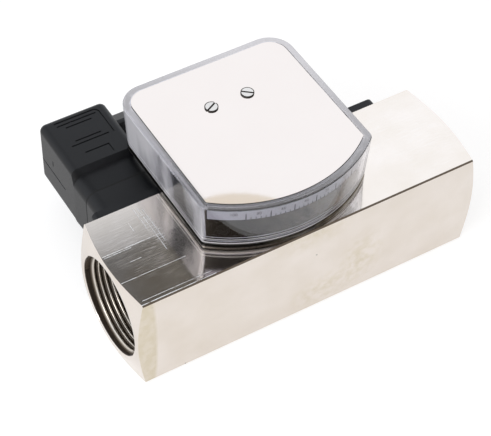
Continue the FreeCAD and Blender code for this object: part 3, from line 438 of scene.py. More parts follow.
@dataclass(frozen=True, kw_only=True)
class Oval:
    """Oval patch in a face of the bar."""

    centre_mm: Pair
    half_mm: Pair
    depth: float
    border: float = 0.5

    def strength(self, surface: Nodes, *ways: Socket) -> Socket:
        """Give the patch's strength: none at its outline, full from the border's share of its size inwards.

        Args:
            surface: the material's nodes.
            ways: place in the face, in its two directions.

        Returns:
            The strength.
        """
        oval = surface.add("Mapping", surface.add("CombineXYZ", *ways), named={
            "Location": (*(-centre / half for centre, half in zip(self.centre_mm, self.half_mm)), 0.0),
            "Scale": (*(per_metre(half) for half in self.half_mm), 1.0),
        })
        away = surface.add("VectorMath", oval, operation="LENGTH", output="Value")
        return surface.add("MapRange", away, 1.0, self.border, 0.0, self.depth)


@dataclass(frozen=True, kw_only=True)
class Scuff(Oval):
    """Patch of fine scratches in the top face, all in one direction."""

    lay: Lay
    run_mm: float
    line_mm: float = 0.5


@dataclass(frozen=True, kw_only=True)
class Tarnish(Oval):
    """Patch of yellowed plating in the front face, of which an even share isn't mottled."""

    even: float


@dataclass(frozen=True, kw_only=True)
class BarPlating(CutMetal):
    """Plating of the bar: leaning milling passes, scratches, scuffs, tarnish, pits and a dull dark bore."""

    face_mm: float = 0.2
    top_mm: float
    passes: tuple[Pass, ...]
    step_mm: float = 0.2
    scratches: tuple[Scratch, ...]
    scratch_gap_mm: float = 3.0
    scratch_range: Pair = (0.3, 0.5)
    scuffs: tuple[Scuff, ...]
    scuff_range: Pair = (0.5, 0.68)
    worn: str = WHITE
    worn_roughness: float = 0.6
    front_mm: float
    tarnishes: tuple[Tarnish, ...]
    tarnish: str
    mottle_mm: float = 3.5
    mottle_range: Pair = (0.38, 0.62)
    pit: str
    pit_mm: float = 13.0
    pit_range: Pair = (0.035, 0.02)
    bore: str
    bore_margin_mm: float = 0.25
    bore_roughness: float = 0.45
    bore_metallic: float = 0.4

    def lean(self, surface: Nodes, y: Socket) -> None:
        """Lean the top's normal forward, more in each pass: normal plus lean times its height, along -Y.

        Args:
            surface: the material's nodes.
            y: place across the bar.
        """
        normal = surface.add("NewGeometry", output="Normal")
        total = 0.0
        for cut in self.passes:
            behind, front = (cut.at_mm + self.step_mm) * MM, (cut.at_mm - self.step_mm) * MM
            step = surface.add("MapRange", y, behind, front, 0.0, -cut.lean)
            total = surface.add("Math", total, step)
        height = surface.add("SeparateXYZ", normal, output=2)
        forward = surface.add("Math", total, height, operation="MULTIPLY")
        leaned = surface.add("VectorMath", normal, surface.add("CombineXYZ", 0.0, forward))
        unit = surface.add("VectorMath", leaned, operation="NORMALIZE")
        surface.put(surface.shader.inputs["Normal"].links[0].from_node.inputs["Normal"], unit)

    def wear(self, surface: Nodes, place: Socket) -> None:
        """Scratch the top white: straight lines, broken here and there, and scuffs of stretched noise.

        Args:
            surface: the material's nodes.
            place: place on the bar.
        """
        x, y, z = surface.add("SeparateXYZ", place).node.outputs
        lines = 0.0
        for scratch in self.scratches:
            across, along = (y, x) if scratch.lay is Lay.ALONG_X else (x, y)
            low, high = (end * MM for end in scratch.span_mm)
            half = scratch.half_width_mm * MM
            line = surface.add("Math", across, scratch.at_mm * MM, half, operation="COMPARE")
            length = surface.add("Math", along, (low + high) / 2, (high - low) / 2, operation="COMPARE")
            both = surface.add("Math", line, length, operation="MULTIPLY")
            lines = surface.add("Math", lines, both, operation="MAXIMUM")
        gaps = surface.add("TexNoise", place, named={"Scale": per_metre(self.scratch_gap_mm), "Detail": 3.0})
        broken = surface.add("MapRange", gaps, *self.scratch_range)
        worn = surface.add("Math", lines, broken, operation="MULTIPLY")
        for scuff in self.scuffs:
            noise = cut_lines(surface, place, scuff.lay, scuff.run_mm, scuff.line_mm)
            cut = surface.add("MapRange", noise, *self.scuff_range)
            scuffed = surface.add("Math", scuff.strength(surface, x, y), cut, operation="MULTIPLY")
            worn = surface.add("Math", worn, scuffed, operation="MAXIMUM")
        top = surface.add("Math", z, self.top_mm * MM, self.face_mm * MM, operation="COMPARE")
        worn = surface.add("Math", worn, top, operation="MULTIPLY")
        surface.layer(worn, {"Roughness": self.worn_roughness, "Base Color": linear(self.worn)})

    def yellow(self, surface: Nodes, place: Socket) -> None:
        """Yellow the plating in the front face's patches, mottled by fine noise.

        Args:
            surface: the material's nodes.
            place: place on the bar.
        """
        x, y, z = surface.add("SeparateXYZ", place).node.outputs
        front = surface.add("Math", y, self.front_mm * MM, self.face_mm * MM, operation="COMPARE")
        fine = surface.add("TexNoise", place, named={"Scale": per_metre(self.mottle_mm), "Detail": 5.0})
        for patch in self.tarnishes:
            facing = surface.add("Math", patch.strength(surface, x, z), front, operation="MULTIPLY")
            mottle = surface.add("MapRange", fine, *self.mottle_range, patch.even)
            where = surface.add("Math", facing, mottle, operation="MULTIPLY")
            surface.layer(where, {"Base Color": linear(self.tarnish)})

    def detail(self, surface: Nodes, place: Socket) -> None:
        """Cut metal, then leaning passes, then wear, then tarnish, then pits, then the bore.

        Args:
            surface: the material's nodes.
            place: place on the bar.
        """
        super().detail(surface, place)
        self.lean(surface, surface.add("SeparateXYZ", place, output=1))
        self.wear(surface, place)
        self.yellow(surface, place)
        spots = surface.add("TexVoronoi", place, named={"Scale": per_metre(self.pit_mm)}, output="Distance")
        surface.layer(surface.add("MapRange", spots, *self.pit_range), {"Base Color": linear(self.pit)})
        radius = (BORE_RADIUS_MM + self.bore_margin_mm) * MM
        inside = surface.add("Math", from_bore_axis(surface, place), radius, operation="LESS_THAN")
        surface.layer(inside, {
            "Base Color": linear(self.bore),
            "Roughness": self.bore_roughness,
            "Metallic": self.bore_metallic,
        })


@dataclass(frozen=True, kw_only=True)
class TappedThread(CutMetal):
    """Tapped thread: crests and flanks bright from the tap, the roots dull and dark."""

    root: str
    bright_depth_mm: float
    dark_depth_mm: float
    root_roughness: float = 0.5
    root_metallic: float = 0.3

    def detail(self, surface: Nodes, place: Socket) -> None:
        """Cut metal that darkens from the crest to the root.

        Args:
            surface: the material's nodes.
            place: place on the thread.
        """
        super().detail(surface, place)
        depths = self.bright_depth_mm, self.dark_depth_mm
        bright, dark = ((BORE_RADIUS_MM - depth) * MM for depth in depths)
        depth = surface.add("MapRange", from_bore_axis(surface, place), bright, dark)
        surface.layer(depth, {
            "Base Color": linear(self.root),
            "Roughness": self.root_roughness,
            "Metallic": self.root_metallic,
        })


@dataclass(frozen=True, kw_only=True)
class CoatAndShadeMetal(CutMetal):
    """Cut metal with a dark layer from one height on, upwards or downwards: lacquer and painted shade on the
    base plate, painted shade on the screw heads.
    """

    coat_and_shade: str
    coat_and_shade_roughness: float
    bare_mm: float
    coat_and_shade_mm: float
    shine: float = 0.5

    def detail(self, surface: Nodes, place: Socket) -> None:
        """Cut metal, then the coat and painted shade, which come in between the bare and the full height.

        Args:
            surface: the material's nodes.
            place: place on the piece.
        """
        super().detail(surface, place)
        surface.set({"Specular IOR Level": self.shine})
        z = surface.add("SeparateXYZ", place, output=2)
        # on the screw heads this is painted shade, on the base plate lacquer with painted shade on its edge
        coat_and_shade = surface.add("MapRange", z, self.bare_mm * MM, self.coat_and_shade_mm * MM)
        surface.layer(coat_and_shade, {
            "Base Color": linear(self.coat_and_shade), "Roughness": self.coat_and_shade_roughness, "Metallic": 0.0,
        })


@dataclass(frozen=True, kw_only=True)
class RingedHeads(CoatAndShadeMetal):
    """Two screw heads side by side along X, with painted shade below the top face and a painted shade line
    round each face.
    """

    middle_mm: Pair
    spread_mm: float
    ring_mm: float
    ring_fade_mm: float = 0.1

    def detail(self, surface: Nodes, place: Socket) -> None:
        """Metal with painted shade, then the painted shade line where the distance from the nearer axis
        passes the ring's radius.

        Args:
            surface: the material's nodes.
            place: place on the heads.
        """
        super().detail(surface, place)
        ways = surface.add("SeparateXYZ", place).node.outputs
        along, across = (
            surface.add("Math", way, middle * MM, operation="SUBTRACT")
            for way, middle in zip(ways, self.middle_mm)
        )
        either = surface.add("Math", along, operation="ABSOLUTE")
        nearer = surface.add("Math", either, self.spread_mm * MM, operation="SUBTRACT")
        flat = surface.add("CombineXYZ", nearer, across)
        away = surface.add("VectorMath", flat, operation="LENGTH", output="Value")
        edges = ((self.ring_mm + fade) * MM for fade in (-self.ring_fade_mm, self.ring_fade_mm))
        # painted shade: a dark line round each face, where shade falls round the head
        ring = surface.add("MapRange", away, *edges)
        surface.layer(ring, {"Base Color": linear(self.coat_and_shade), "Roughness": self.coat_and_shade_roughness})


@dataclass(frozen=True, kw_only=True)
class DustAndSheenMetal(CoatAndShadeMetal):
    """Metal with a coat and painted shade, and pale flecks on the coat, thicker towards +X, that are dust and
    a painted sheen.
    """

    dust_and_sheen: str
    dust_and_sheen_mm: Pair
    fleck_mm: float
    fleck_range: Pair = (0.35, 0.65)

    def detail(self, surface: Nodes, place: Socket) -> None:
        """Metal with a coat and painted shade, then flecks of dust and painted sheen over the height where
        the coat lies.

        Args:
            surface: the material's nodes.
            place: place on the piece.
        """
        super().detail(surface, place)
        x, _, z = surface.add("SeparateXYZ", place).node.outputs
        share = surface.add("MapRange", x, *(end * MM for end in self.dust_and_sheen_mm))
        noise = surface.add("TexNoise", place, named={"Scale": per_metre(self.fleck_mm), "Detail": 3.0})
        fleck = surface.add("MapRange", noise, *self.fleck_range)
        thick = surface.add("Math", share, fleck, operation="MULTIPLY")
        above = surface.add("Math", z, self.coat_and_shade_mm * MM, operation="GREATER_THAN")
        where = surface.add("Math", thick, above, operation="MULTIPLY")
        surface.layer(where, {"Base Color": linear(self.dust_and_sheen)})


@dataclass(frozen=True, kw_only=True)
class ClearMoulding(Finish):
    """Clear moulded plastic or glass: sharp reflections over what lies behind it."""

    ior: float
    flow_mm: float
    clear: float
    gloss_spread: Pair = (0.5, 1.5)
    shadow: str = "#E4E4EE"

    def detail(self, surface: Nodes, place: Socket) -> None:
        """Clear body with faint moulding flow in its gloss, which lets light through to what it covers.

        Args:
            surface: the material's nodes.
            place: place on the piece.
        """
        flow = surface.add("TexNoise", place, named={"Scale": per_metre(self.flow_mm), "Detail": 2.0})
        least, most = (self.roughness * share for share in self.gloss_spread)
        surface.set({
            "Transmission Weight": self.clear,
            "IOR": self.ior,
            "Roughness": surface.add("MapRange", flow, 0.0, 1.0, least, most),
        })
        shaded = surface.add("LightPath", output="Is Shadow Ray")
        through = surface.add("BsdfTransparent", linear(self.shadow))
        both = surface.add("MixShader", shaded, surface.shader.outputs[0], through)
        surface.put(surface.tree.nodes["Material Output"].inputs["Surface"], both)


@dataclass(frozen=True, kw_only=True)
class HazeAndLightMoulding(ClearMoulding):
    """Clear moulding with a cool haze on its side walls and rim that also paints light on them, and two pale
    bands at its foot that are painted highlights.
    """

    haze_and_painted_light: str
    wall_clear: Pair
    wall_facing: Pair = (0.7, 0.95)
    wall_middle_mm: float
    wall_reach_mm: float
    wall_haze_and_painted_light: Pair = (0.5, 0.92)
    end_haze_and_painted_light: float = 0.5
    wall_roughness: float = 0.1
    cloud_mm: Triple
    middle_mm: float
    middle_fade_mm: float = 5.0
    right_share: float
    rim_mm: float
    rim_facing: Pair = (0.3, 0.9)
    rim_way: Triple
    rim_reach_mm: Pair
    rim_clear: Pair
    rim_roughness: float = 0.16
    foot_mm: float
    foot_fade_mm: float = 0.2
    foot_clear: float
    foot_roughness: float = 0.3
    seam_highlight_mm: float
    seam_highlight_half_mm: float

    def walls(self, surface: Nodes, place: Socket) -> tuple[Socket, Socket]:
        """Find the side walls and their haze, which also paints their highlights: upright clouds of noise,
        thicker to the ends, and fainter on the right.

        Args:
            surface: the material's nodes.
            place: place on the piece.

        Returns:
            Share of wall, and how clear it is.
        """
        x, y, _ = surface.add("SeparateXYZ", place).node.outputs
        sideways = surface.add("SeparateXYZ", surface.add("NewGeometry", output="Normal"))
        turned = surface.add("Math", sideways, operation="ABSOLUTE")
        facing = surface.add("MapRange", turned, *self.wall_facing)
        fade = ((self.middle_mm + side) * MM for side in (-self.middle_fade_mm, self.middle_fade_mm))
        share = surface.add("MapRange", x, *fade, 1.0, self.right_share)
        wall = surface.add("Math", facing, share, operation="MULTIPLY")
        scale = tuple(per_metre(size) for size in self.cloud_mm)
        stretched = surface.add("Mapping", place, named={"Scale": scale})
        cloud = surface.add("TexNoise", stretched, named={"Scale": 1.0, "Detail": 2.0})
        along = surface.add("Math", y, self.wall_middle_mm * MM, operation="SUBTRACT")
        away = surface.add("Math", along, operation="ABSOLUTE")
        ends = surface.add("MapRange", away, 0.0, self.wall_reach_mm * MM, 0.0, self.end_haze_and_painted_light)
        # painted highlights: upright streaks and thicker ends stand in for light on the walls
        thick = surface.add("Math", cloud, ends)
        least, most = self.wall_clear
        return wall, surface.add("MapRange", thick, *self.wall_haze_and_painted_light, most, least)

    def rim(self, surface: Nodes, place: Socket) -> tuple[Socket, Socket]:
        """Find the rim, which faces up at the top, and its haze, which grows along one direction as painted
        light, paler to the back right.

        Args:
            surface: the material's nodes.
            place: place on the piece.

        Returns:
            Share of rim, and how clear it is.
        """
        z = surface.add("SeparateXYZ", place, output=2)
        up = surface.add("SeparateXYZ", surface.add("NewGeometry", output="Normal"), output=2)
        high = surface.add("Math", z, self.rim_mm * MM, operation="GREATER_THAN")
        top = surface.add("Math", up, high, operation="MULTIPLY")
        along = surface.add("VectorMath", place, self.rim_way, operation="DOT_PRODUCT", output="Value")
        # painted light: the rim's haze grows towards the back right, where more light comes through
        clear = surface.add("MapRange", along, *(end * MM for end in self.rim_reach_mm), *self.rim_clear)
        return surface.add("MapRange", top, *self.rim_facing), clear

    def foot(self, surface: Nodes, place: Socket) -> Socket:
        """Find the pale bands at the foot and over it, which are painted highlights along the lower edge, by
        their heights.

        Args:
            surface: the material's nodes.
            place: place on the piece.

        Returns:
            Share of the two painted highlight bands.
        """
        z = surface.add("SeparateXYZ", place, output=2)
        # painted highlights: a pale band at the foot and another one above it
        foot = surface.add("MapRange", z, (self.foot_mm + self.foot_fade_mm) * MM, self.foot_mm * MM)
        seam_highlight = surface.add("Math", z, self.seam_highlight_mm * MM, self.seam_highlight_half_mm * MM, operation="COMPARE")
        return surface.add("Math", foot, seam_highlight, operation="MAXIMUM")

    def detail(self, surface: Nodes, place: Socket) -> None:
        """Clear body, then the haze and painted light of the walls and of the rim, and the painted highlights
        at the foot.

        Args:
            surface: the material's nodes.
            place: place on the piece.
        """
        super().detail(surface, place)
        for where, clear, rough in (
            (*self.walls(surface, place), self.wall_roughness),
            (*self.rim(surface, place), self.rim_roughness),
            (self.foot(surface, place), self.foot_clear, self.foot_roughness),
        ):
            # the haze colour is partly haze and partly painted light and highlights
            surface.layer(where, {
                "Base Color": linear(self.haze_and_painted_light), "Roughness": rough, "Transmission Weight": clear,
            })


@dataclass(frozen=True, kw_only=True)
class Moulding(Finish):
    """Moulded plastic, rubber, print or dull coat: a fine even grain and faint cloudy colour.

    A real grain is about 0.1 mm wide, and is drawn coarser to show.
    """

    light: str
    grain_mm: float = 0.2
    grain_depth_mm: float = 0.008
    grain_range: Pair = (0.3, 0.7)
    gloss_spread: Pair = (0.9, 1.15)
    cloud_mm: float
    shine: float = 0.5

    def detail(self, surface: Nodes, place: Socket) -> None:
        """Grain in height and gloss, clouds in colour.

        Args:
            surface: the material's nodes.
            place: place on the piece.
        """
        grain = surface.add("TexNoise", place, named={"Scale": per_metre(self.grain_mm), "Detail": 2.0})
        cloud = surface.add("TexNoise", place, named={"Scale": per_metre(self.cloud_mm), "Detail": 3.0})
        surface.layer(cloud, {"Base Color": linear(self.light)})
        least, most = (self.roughness * share for share in self.gloss_spread)
        relief = {"Height": grain, "Distance": self.grain_depth_mm * MM, "Strength": 1.0}
        surface.set({
            "Specular IOR Level": self.shine,
            "Roughness": surface.add("MapRange", grain, *self.grain_range, least, most),
            "Normal": surface.add("Bump", named=relief),
        })


# Bright nickel over milled brass: a warm, slightly blotchy mirror, with the cutter's passes, scuffs, yellowed
# patches and pits.
NICKEL = BarPlating(
    name="nickel_plated_brass_milled",
    colour="#E4DACD",
    light="#F7F0EB",
    roughness=0.1,
    lay=Lay.ALONG_X,
    line_mm=0.5,
    run_mm=60.0,
    line_depth_mm=0.0003,
    blotch_mm=18.0,
    top_mm=level("body", 1),
    passes=(Pass(at_mm=4.4, lean=0.02), Pass(at_mm=-10.1, lean=0.012)),
    scratches=(
        Scratch(Lay.ALONG_X, at_mm=4.9, span_mm=(-78.0, -53.0)),
        Scratch(Lay.ALONG_X, at_mm=4.0, span_mm=(-78.0, -66.0)),
        Scratch(Lay.ALONG_X, at_mm=-2.3, span_mm=(-70.0, -65.0)),
        Scratch(Lay.ALONG_X, at_mm=-10.1, span_mm=(-78.0, -50.0)),
        Scratch(Lay.ALONG_X, at_mm=-21.4, span_mm=(-75.0, -45.0)),
        Scratch(Lay.ALONG_X, at_mm=-23.2, span_mm=(-77.0, -44.0), half_width_mm=0.2),
        Scratch(Lay.ALONG_Y, at_mm=-56.1, span_mm=(9.0, 21.0)),
        Scratch(Lay.ALONG_Y, at_mm=-54.5, span_mm=(-3.5, 20.5)),
        Scratch(Lay.ALONG_Y, at_mm=-52.9, span_mm=(1.0, 19.0)),
        Scratch(Lay.ALONG_Y, at_mm=-61.2, span_mm=(10.5, 15.5)),
    ),
    scuffs=(
        Scuff(centre_mm=(-53.8, 8.5), half_mm=(3.2, 14.0), depth=0.9, lay=Lay.ALONG_Y, run_mm=14.0),
        Scuff(centre_mm=(-62.0, 2.0), half_mm=(26.0, 30.0), depth=0.15, lay=Lay.ALONG_X, run_mm=7.0),
        Scuff(centre_mm=(62.0, 0.0), half_mm=(26.0, 30.0), depth=0.15, lay=Lay.ALONG_X, run_mm=7.0),
    ),
    front_mm=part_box("body")[0].y / MM,
    tarnishes=(
        Tarnish(centre_mm=(-75.0, 24.0), half_mm=(5.0, 40.0), depth=0.85, border=0.75, even=0.6),
        Tarnish(centre_mm=(24.0, 18.0), half_mm=(13.0, 18.0), depth=0.6, border=0.2, even=0.0),
        Tarnish(centre_mm=(6.0, 9.0), half_mm=(20.0, 11.0), depth=0.5, border=0.2, even=0.0),
        Tarnish(centre_mm=(0.0, 45.0), half_mm=(22.0, 9.0), depth=0.6, border=0.0, even=0.2),
    ),
    tarnish="#DDD2BA",
    pit="#A8A098",
    bore="#382F26",
)

# Tapped and plated thread: bright lines on the flanks that face the mouth, brown-black roots between them.
TAPPED = TappedThread(
    name="nickel_plated_thread_tapped",
    colour="#CFC7BC",
    light="#DDD6CC",
    roughness=0.14,
    lay=Lay.ALONG_Y,
    run_mm=6.0,
    line_depth_mm=0.0006,
    root="#5A4E40",
    bright_depth_mm=0.95,
    dark_depth_mm=0.35,
)

# Polished stainless sheet: an even mirror, nearly white under the room, with its thin sheared edge painted
# dark as the shade of the gap round the plate.
POLISHED = SheetMetal(
    name="stainless_sheet_polished",
    colour="#EBE2DC",
    light="#EFE7E1",
    roughness=0.03,
    lay=Lay.ALONG_Y,
    line_mm=0.6,
    run_mm=40.0,
    line_depth_mm=0.00003,
    blotch_mm=30.0,
    edge_shade="#3A3634",
)

# Aluminium sheet with black lacquer on top: a bright cut line at its foot, the edge above it painted black as
# the shade under the cover's foot, and a black floor in the head with pale flecks, thicker to the right, that
# are dust and a painted sheen.
BASE = DustAndSheenMetal(
    name="aluminium_sheet_black_lacquer_and_painted_shade",
    colour="#7C7874",
    light="#8A8682",
    roughness=0.3,
    lay=Lay.ALONG_X,
    line_mm=0.4,
    run_mm=20.0,
    line_depth_mm=0.0004,
    blotch_mm=12.0,
    coat_and_shade="#0C0A08",
    coat_and_shade_roughness=0.2,
    shine=0.2,
    # painted shade: the edge above this height is black, as shade under the cover's foot
    bare_mm=level("base_plate", 0) + 0.4,
    coat_and_shade_mm=level("base_plate", 0) + 0.6,
    # pale flecks thicker to the right: dust, and a painted sheen of the lit right wall on the floor
    dust_and_sheen="#B8AC94",
    dust_and_sheen_mm=(-22.0, 24.0),
    fleck_mm=9.0,
)

HEAD_LOW, HEAD_HIGH = (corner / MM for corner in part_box("plate_screws"))
HEAD_RADIUS_MM = (HEAD_HIGH.y - HEAD_LOW.y) / 2

# Nickel-plated slotted screw: a bright head, with painted shade in the slot, down its side to the foot and in
# a line round its face.
SCREW = RingedHeads(
    name="nickel_plated_screw_slotted",
    colour="#DCD8D4",
    light="#E8E5E1",
    roughness=0.18,
    lay=Lay.ALONG_X,
    run_mm=4.0,
    line_depth_mm=0.0006,
    blotch_mm=3.0,
    coat_and_shade="#34302D",
    coat_and_shade_roughness=0.6,
    # painted shade: dark below the top face, in the slot and down the side
    bare_mm=HEAD_HIGH.z - 0.02,
    coat_and_shade_mm=HEAD_HIGH.z - 0.1,
    middle_mm=((HEAD_LOW.x + HEAD_HIGH.x) / 2, (HEAD_LOW.y + HEAD_HIGH.y) / 2),
    spread_mm=(HEAD_HIGH.x - HEAD_LOW.x) / 2 - HEAD_RADIUS_MM,
    ring_mm=HEAD_RADIUS_MM * 0.88,
)

# Zinc-plated steel: cool light grey, satin, with fine turning lines.
STEEL = CutMetal(
    name="zinc_plated_steel_turned",
    colour="#C0C0BD",
    light="#D2D2CF",
    roughness=0.22,
    lay=Lay.ALONG_X,
    run_mm=8.0,
    line_depth_mm=0.0006,
    blotch_mm=6.0,
)

# Turned stainless steel: darker and warmer than the zinc, with lines round the turned faces.
STAINLESS = CutMetal(name="stainless_steel_turned", colour="#BDBBB7", light="#CCCAC6", roughness=0.24)

# Turned brass: yellow metal with a soft shine and faint darker spots.
BRASS = CutMetal(name="brass_turned", colour="#CFAA58", light="#DDBD72", roughness=0.2)

# Satin aluminium sheet: pale matt grey with rolling lines.
ALUMINIUM = CutMetal(
    name="aluminium_sheet_satin",
    colour="#C4C4C6",
    light="#D2D2D4",
    roughness=0.35,
    lay=Lay.ALONG_Y,
    line_depth_mm=0.001,
    blotch_mm=10.0,
)

COVER_LOW, COVER_HIGH = (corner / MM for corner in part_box("clear_cover"))

# Clear polycarbonate: a clear window in front, milky side walls with painted highlights, a frosted rim paler
# to the back right as painted light, and two pale bands at the foot as painted highlights.
CLEAR = HazeAndLightMoulding(
    name="polycarbonate_clear_moulded",
    colour="#F4F4FA",
    roughness=0.03,
    ior=1.585,
    flow_mm=20.0,
    clear=1.0,
    haze_and_painted_light="#DEDDE1",
    wall_clear=(0.04, 0.98),
    wall_middle_mm=6.0,
    wall_reach_mm=44.0,
    cloud_mm=(14.0, 14.0, 30.0),
    middle_mm=(COVER_LOW.x + COVER_HIGH.x) / 2,
    right_share=0.8,
    rim_mm=COVER_HIGH.z - 0.7,
    rim_way=(0.62, 0.79, 0.0),
    rim_reach_mm=(-26.0, 52.0),
    rim_clear=(0.84, 0.05),
    foot_mm=COVER_LOW.z + 0.6,
    foot_clear=0.3,
    seam_highlight_mm=COVER_LOW.z + 2.5,
    seam_highlight_half_mm=0.22,
)

# Black polyamide from a spark-eroded mould: deep black with a soft sheen.
BLACK = Moulding(
    name="polyamide_black_moulded",
    colour="#101113",
    light="#17181B",
    roughness=0.38,
    grain_mm=0.35,
    cloud_mm=14.0,
    shine=0.3,
)

# Grey polyamide: plain mid grey with the same grain.
GREY = Moulding(
    name="polyamide_grey_moulded",
    colour="#8B8E92",
    light="#9A9DA0",
    roughness=0.5,
    grain_mm=0.35,
    cloud_mm=10.0,
)

# Dark grey silicone: matt, a little dusty.
SILICONE = Moulding(
    name="silicone_rubber_grey",
    colour="#4C4A48",
    light="#585653",
    roughness=0.6,
    grain_mm=0.25,
    grain_depth_mm=0.006,
    cloud_mm=6.0,
    shine=0.4,
)

# Nitrile rubber: dull black.
RUBBER = Moulding(
    name="nitrile_rubber_matt",
    colour="#0F0F0F",
    light="#161616",
    roughness=0.75,
    grain_mm=0.25,
    cloud_mm=6.0,
    shine=0.4,
)

# Sintered ferrite, ground: dark stone grey with a fine grit.
FERRITE = Moulding(
    name="ferrite_sintered_ground",
    colour="#3A3A3C",
    light="#464648",
    roughness=0.55,
    grain_depth_mm=0.006,
    cloud_mm=5.0,
)

# Grey polyester strip: flat lavender grey behind the window.
PRINTED = Moulding(
    name="polyester_strip_grey",
    colour="#A9A8AB",
    light="#B3B2B5",
    roughness=0.45,
    grain_mm=0.3,
    grain_depth_mm=0.002,
    cloud_mm=8.0,
)

# Screen-printing ink: matt black, a little uneven.
INK = Moulding(
    name="printing_ink_black",
    colour="#1B1B1E",
    light="#232326",
    roughness=0.6,
    grain_depth_mm=0.002,
    cloud_mm=4.0,
    shine=0.4,
)

# Black anodised aluminium: near black with a silky sheen.
ANODISED = Moulding(
    name="aluminium_black_anodised",
    colour="#17181A",
    light="#1F2022",
    roughness=0.42,
    grain_depth_mm=0.003,
    cloud_mm=8.0,
)

# Sealed green glass: a clear green bead with sharp lights.
GLASS = ClearMoulding(
    name="reed_glass_green", colour="#B9D8BE", roughness=0.03, ior=1.51, flow_mm=4.0, clear=0.9,
)


class Wardrobe:
    """Materials already made, one for each finish."""

    def __init__(self) -> None:
        """Start with no material."""
        self.made: dict[str, bpy.types.Material] = {}

    def get(self, finish: Finish) -> bpy.types.Material:
        """Give the material of a finish, made on first use.

        Args:
            finish: the finish.

        Returns:
            Its material.
        """
        if finish.name not in self.made:
            self.made[finish.name] = finish.material()
        return self.made[finish.name]

    def dress(self, finish: Finish, *nodes: str) -> None:
        """Put a finish on nodes of the frame.

        Args:
            finish: the finish.
            nodes: names of the nodes.
        """
        for name in nodes:
            frame["nodes"][name].data.materials[0] = self.get(finish)
            LOG.info("dressed %s in %s", name, finish.name)

    def cover(self, finish: Finish, slot: str, *pieces: bpy.types.Object) -> None:
        """Put a finish on new pieces.

        Args:
            finish: the finish.
            slot: the record's material slot; not used.
            pieces: the pieces.
        """
        for piece in pieces:
            piece.data.materials.clear()
            piece.data.materials.append(self.get(finish))


@dataclass
class Bar:
    """Square plated bar with a pipe thread in each port."""

    pitch_mm: float = 2.309
    thread_depth_mm: float = 1.479
    thread_start_mm: float = 0.9
    thread_length_mm: float = 18.4
    fade_turns: float = 0.5
    least_height: float = 0.03
    segments: int = 72
    crest_points: int = 9
    root_cover_mm: float = 0.02

    def thread(self, name: str, port: str) -> bpy.types.Object:
        """Make one port's thread: a rounded ridge of one pitch width carried along a right-hand helix.

        The ridge's height over its width is a raised cosine, and it fades in and out over half a turn.

        Args:
            name: name of the piece.
            port: the record's mount whose bore it lines.

        Returns:
            The ridge.
        """
        mouth = entry(frame["record"]["mounts"], port)
        side = mouth["axis"][0]
        turns = self.thread_length_mm / self.pitch_mm
        along = np.linspace(0, turns, int(turns * self.segments) + 1)[:, None]
        across = np.linspace(-0.5, 0.5, self.crest_points)[None, :]
        fade = np.clip(np.minimum(along, turns - along) / self.fade_turns, self.least_height, 1)
        height = self.thread_depth_mm * fade * (0.5 + 0.5 * np.cos(2 * np.pi * across))
        radius = mouth["dims"]["r_mm"] + self.root_cover_mm - height
        x = -side * (self.thread_start_mm + (along + across) * self.pitch_mm)
        turn = -side * 2 * np.pi * along
        points = np.stack([x, radius * np.cos(turn), radius * np.sin(turn)], -1) * MM
        faces = swept_faces(len(along), self.crest_points)
        thread = mesh_piece(name, points + np.array(mouth["pos_m"]), faces)
        thread.data.shade_smooth()
        return thread

    def build(self, wardrobe: Wardrobe) -> None:
        """Make both threads and dress the bar.

        Args:
            wardrobe: the finishes' materials.
        """
        threads = [self.thread("inlet_thread", "inlet_port"), self.thread("outlet_thread", "outlet_port")]
        wardrobe.cover(TAPPED, "nickel_brass", *threads)
        wardrobe.dress(NICKEL, "body")


@dataclass
class MeasuringInsert:
    """Sleeve, spiders, rod, piston and spring inside the bar."""

    wire_radius_mm: float = 0.45
    spring_turns: int = 5
    end_closing: float = 0.5
    turn_points: int = 48
    wire_points: int = 12

    def spring(self) -> bpy.types.Object:
        """Make the return spring in place of its node: round wire carried along a right-hand helix.

        Its advance over the share s of its length is s - c sin(2 pi s) / (2 pi), so that the turns lie
        closer at both ends.

        Returns:
            The spring.
        """
        low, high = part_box("return_spring")
        wire = self.wire_radius_mm * MM
        length = high.x - low.x
        axis_z = (low.z + high.z) / 2
        share = np.linspace(0, 1, self.spring_turns * self.turn_points + 1)[:, None]
        around = 2 * np.pi * np.arange(self.wire_points)[None, :] / self.wire_points
        turn = 2 * np.pi * self.spring_turns * share
        advance = share - self.end_closing * np.sin(2 * np.pi * share) / (2 * np.pi)
        x = low.x + wire + (length - 2 * wire) * advance - wire * np.sin(around)
        radius = (high.z - low.z) / 2 - wire + wire * np.cos(around)
        points = np.stack([x, radius * np.cos(turn), axis_z + radius * np.sin(turn)], -1)
        spring = mesh_piece("return_spring_coiled", points, swept_faces(len(share), self.wire_points))
        spring.data.shade_smooth()
        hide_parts("return_spring")
        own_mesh(spring)
        return spring

    def build(self, wardrobe: Wardrobe) -> None:
        """Make the spring and put the finishes on.

        Args:
            wardrobe: the finishes' materials.
        """
        wardrobe.cover(STAINLESS, "screw_steel", self.spring())
        wardrobe.dress(STAINLESS, "metering_sleeve", "inlet_spider", "outlet_spider", "guide_rod")
        wardrobe.dress(STEEL, "rod_nuts", "retaining_rings")
        wardrobe.dress(BRASS, "piston", "magnet_nut")
        wardrobe.dress(FERRITE, "piston_magnet")


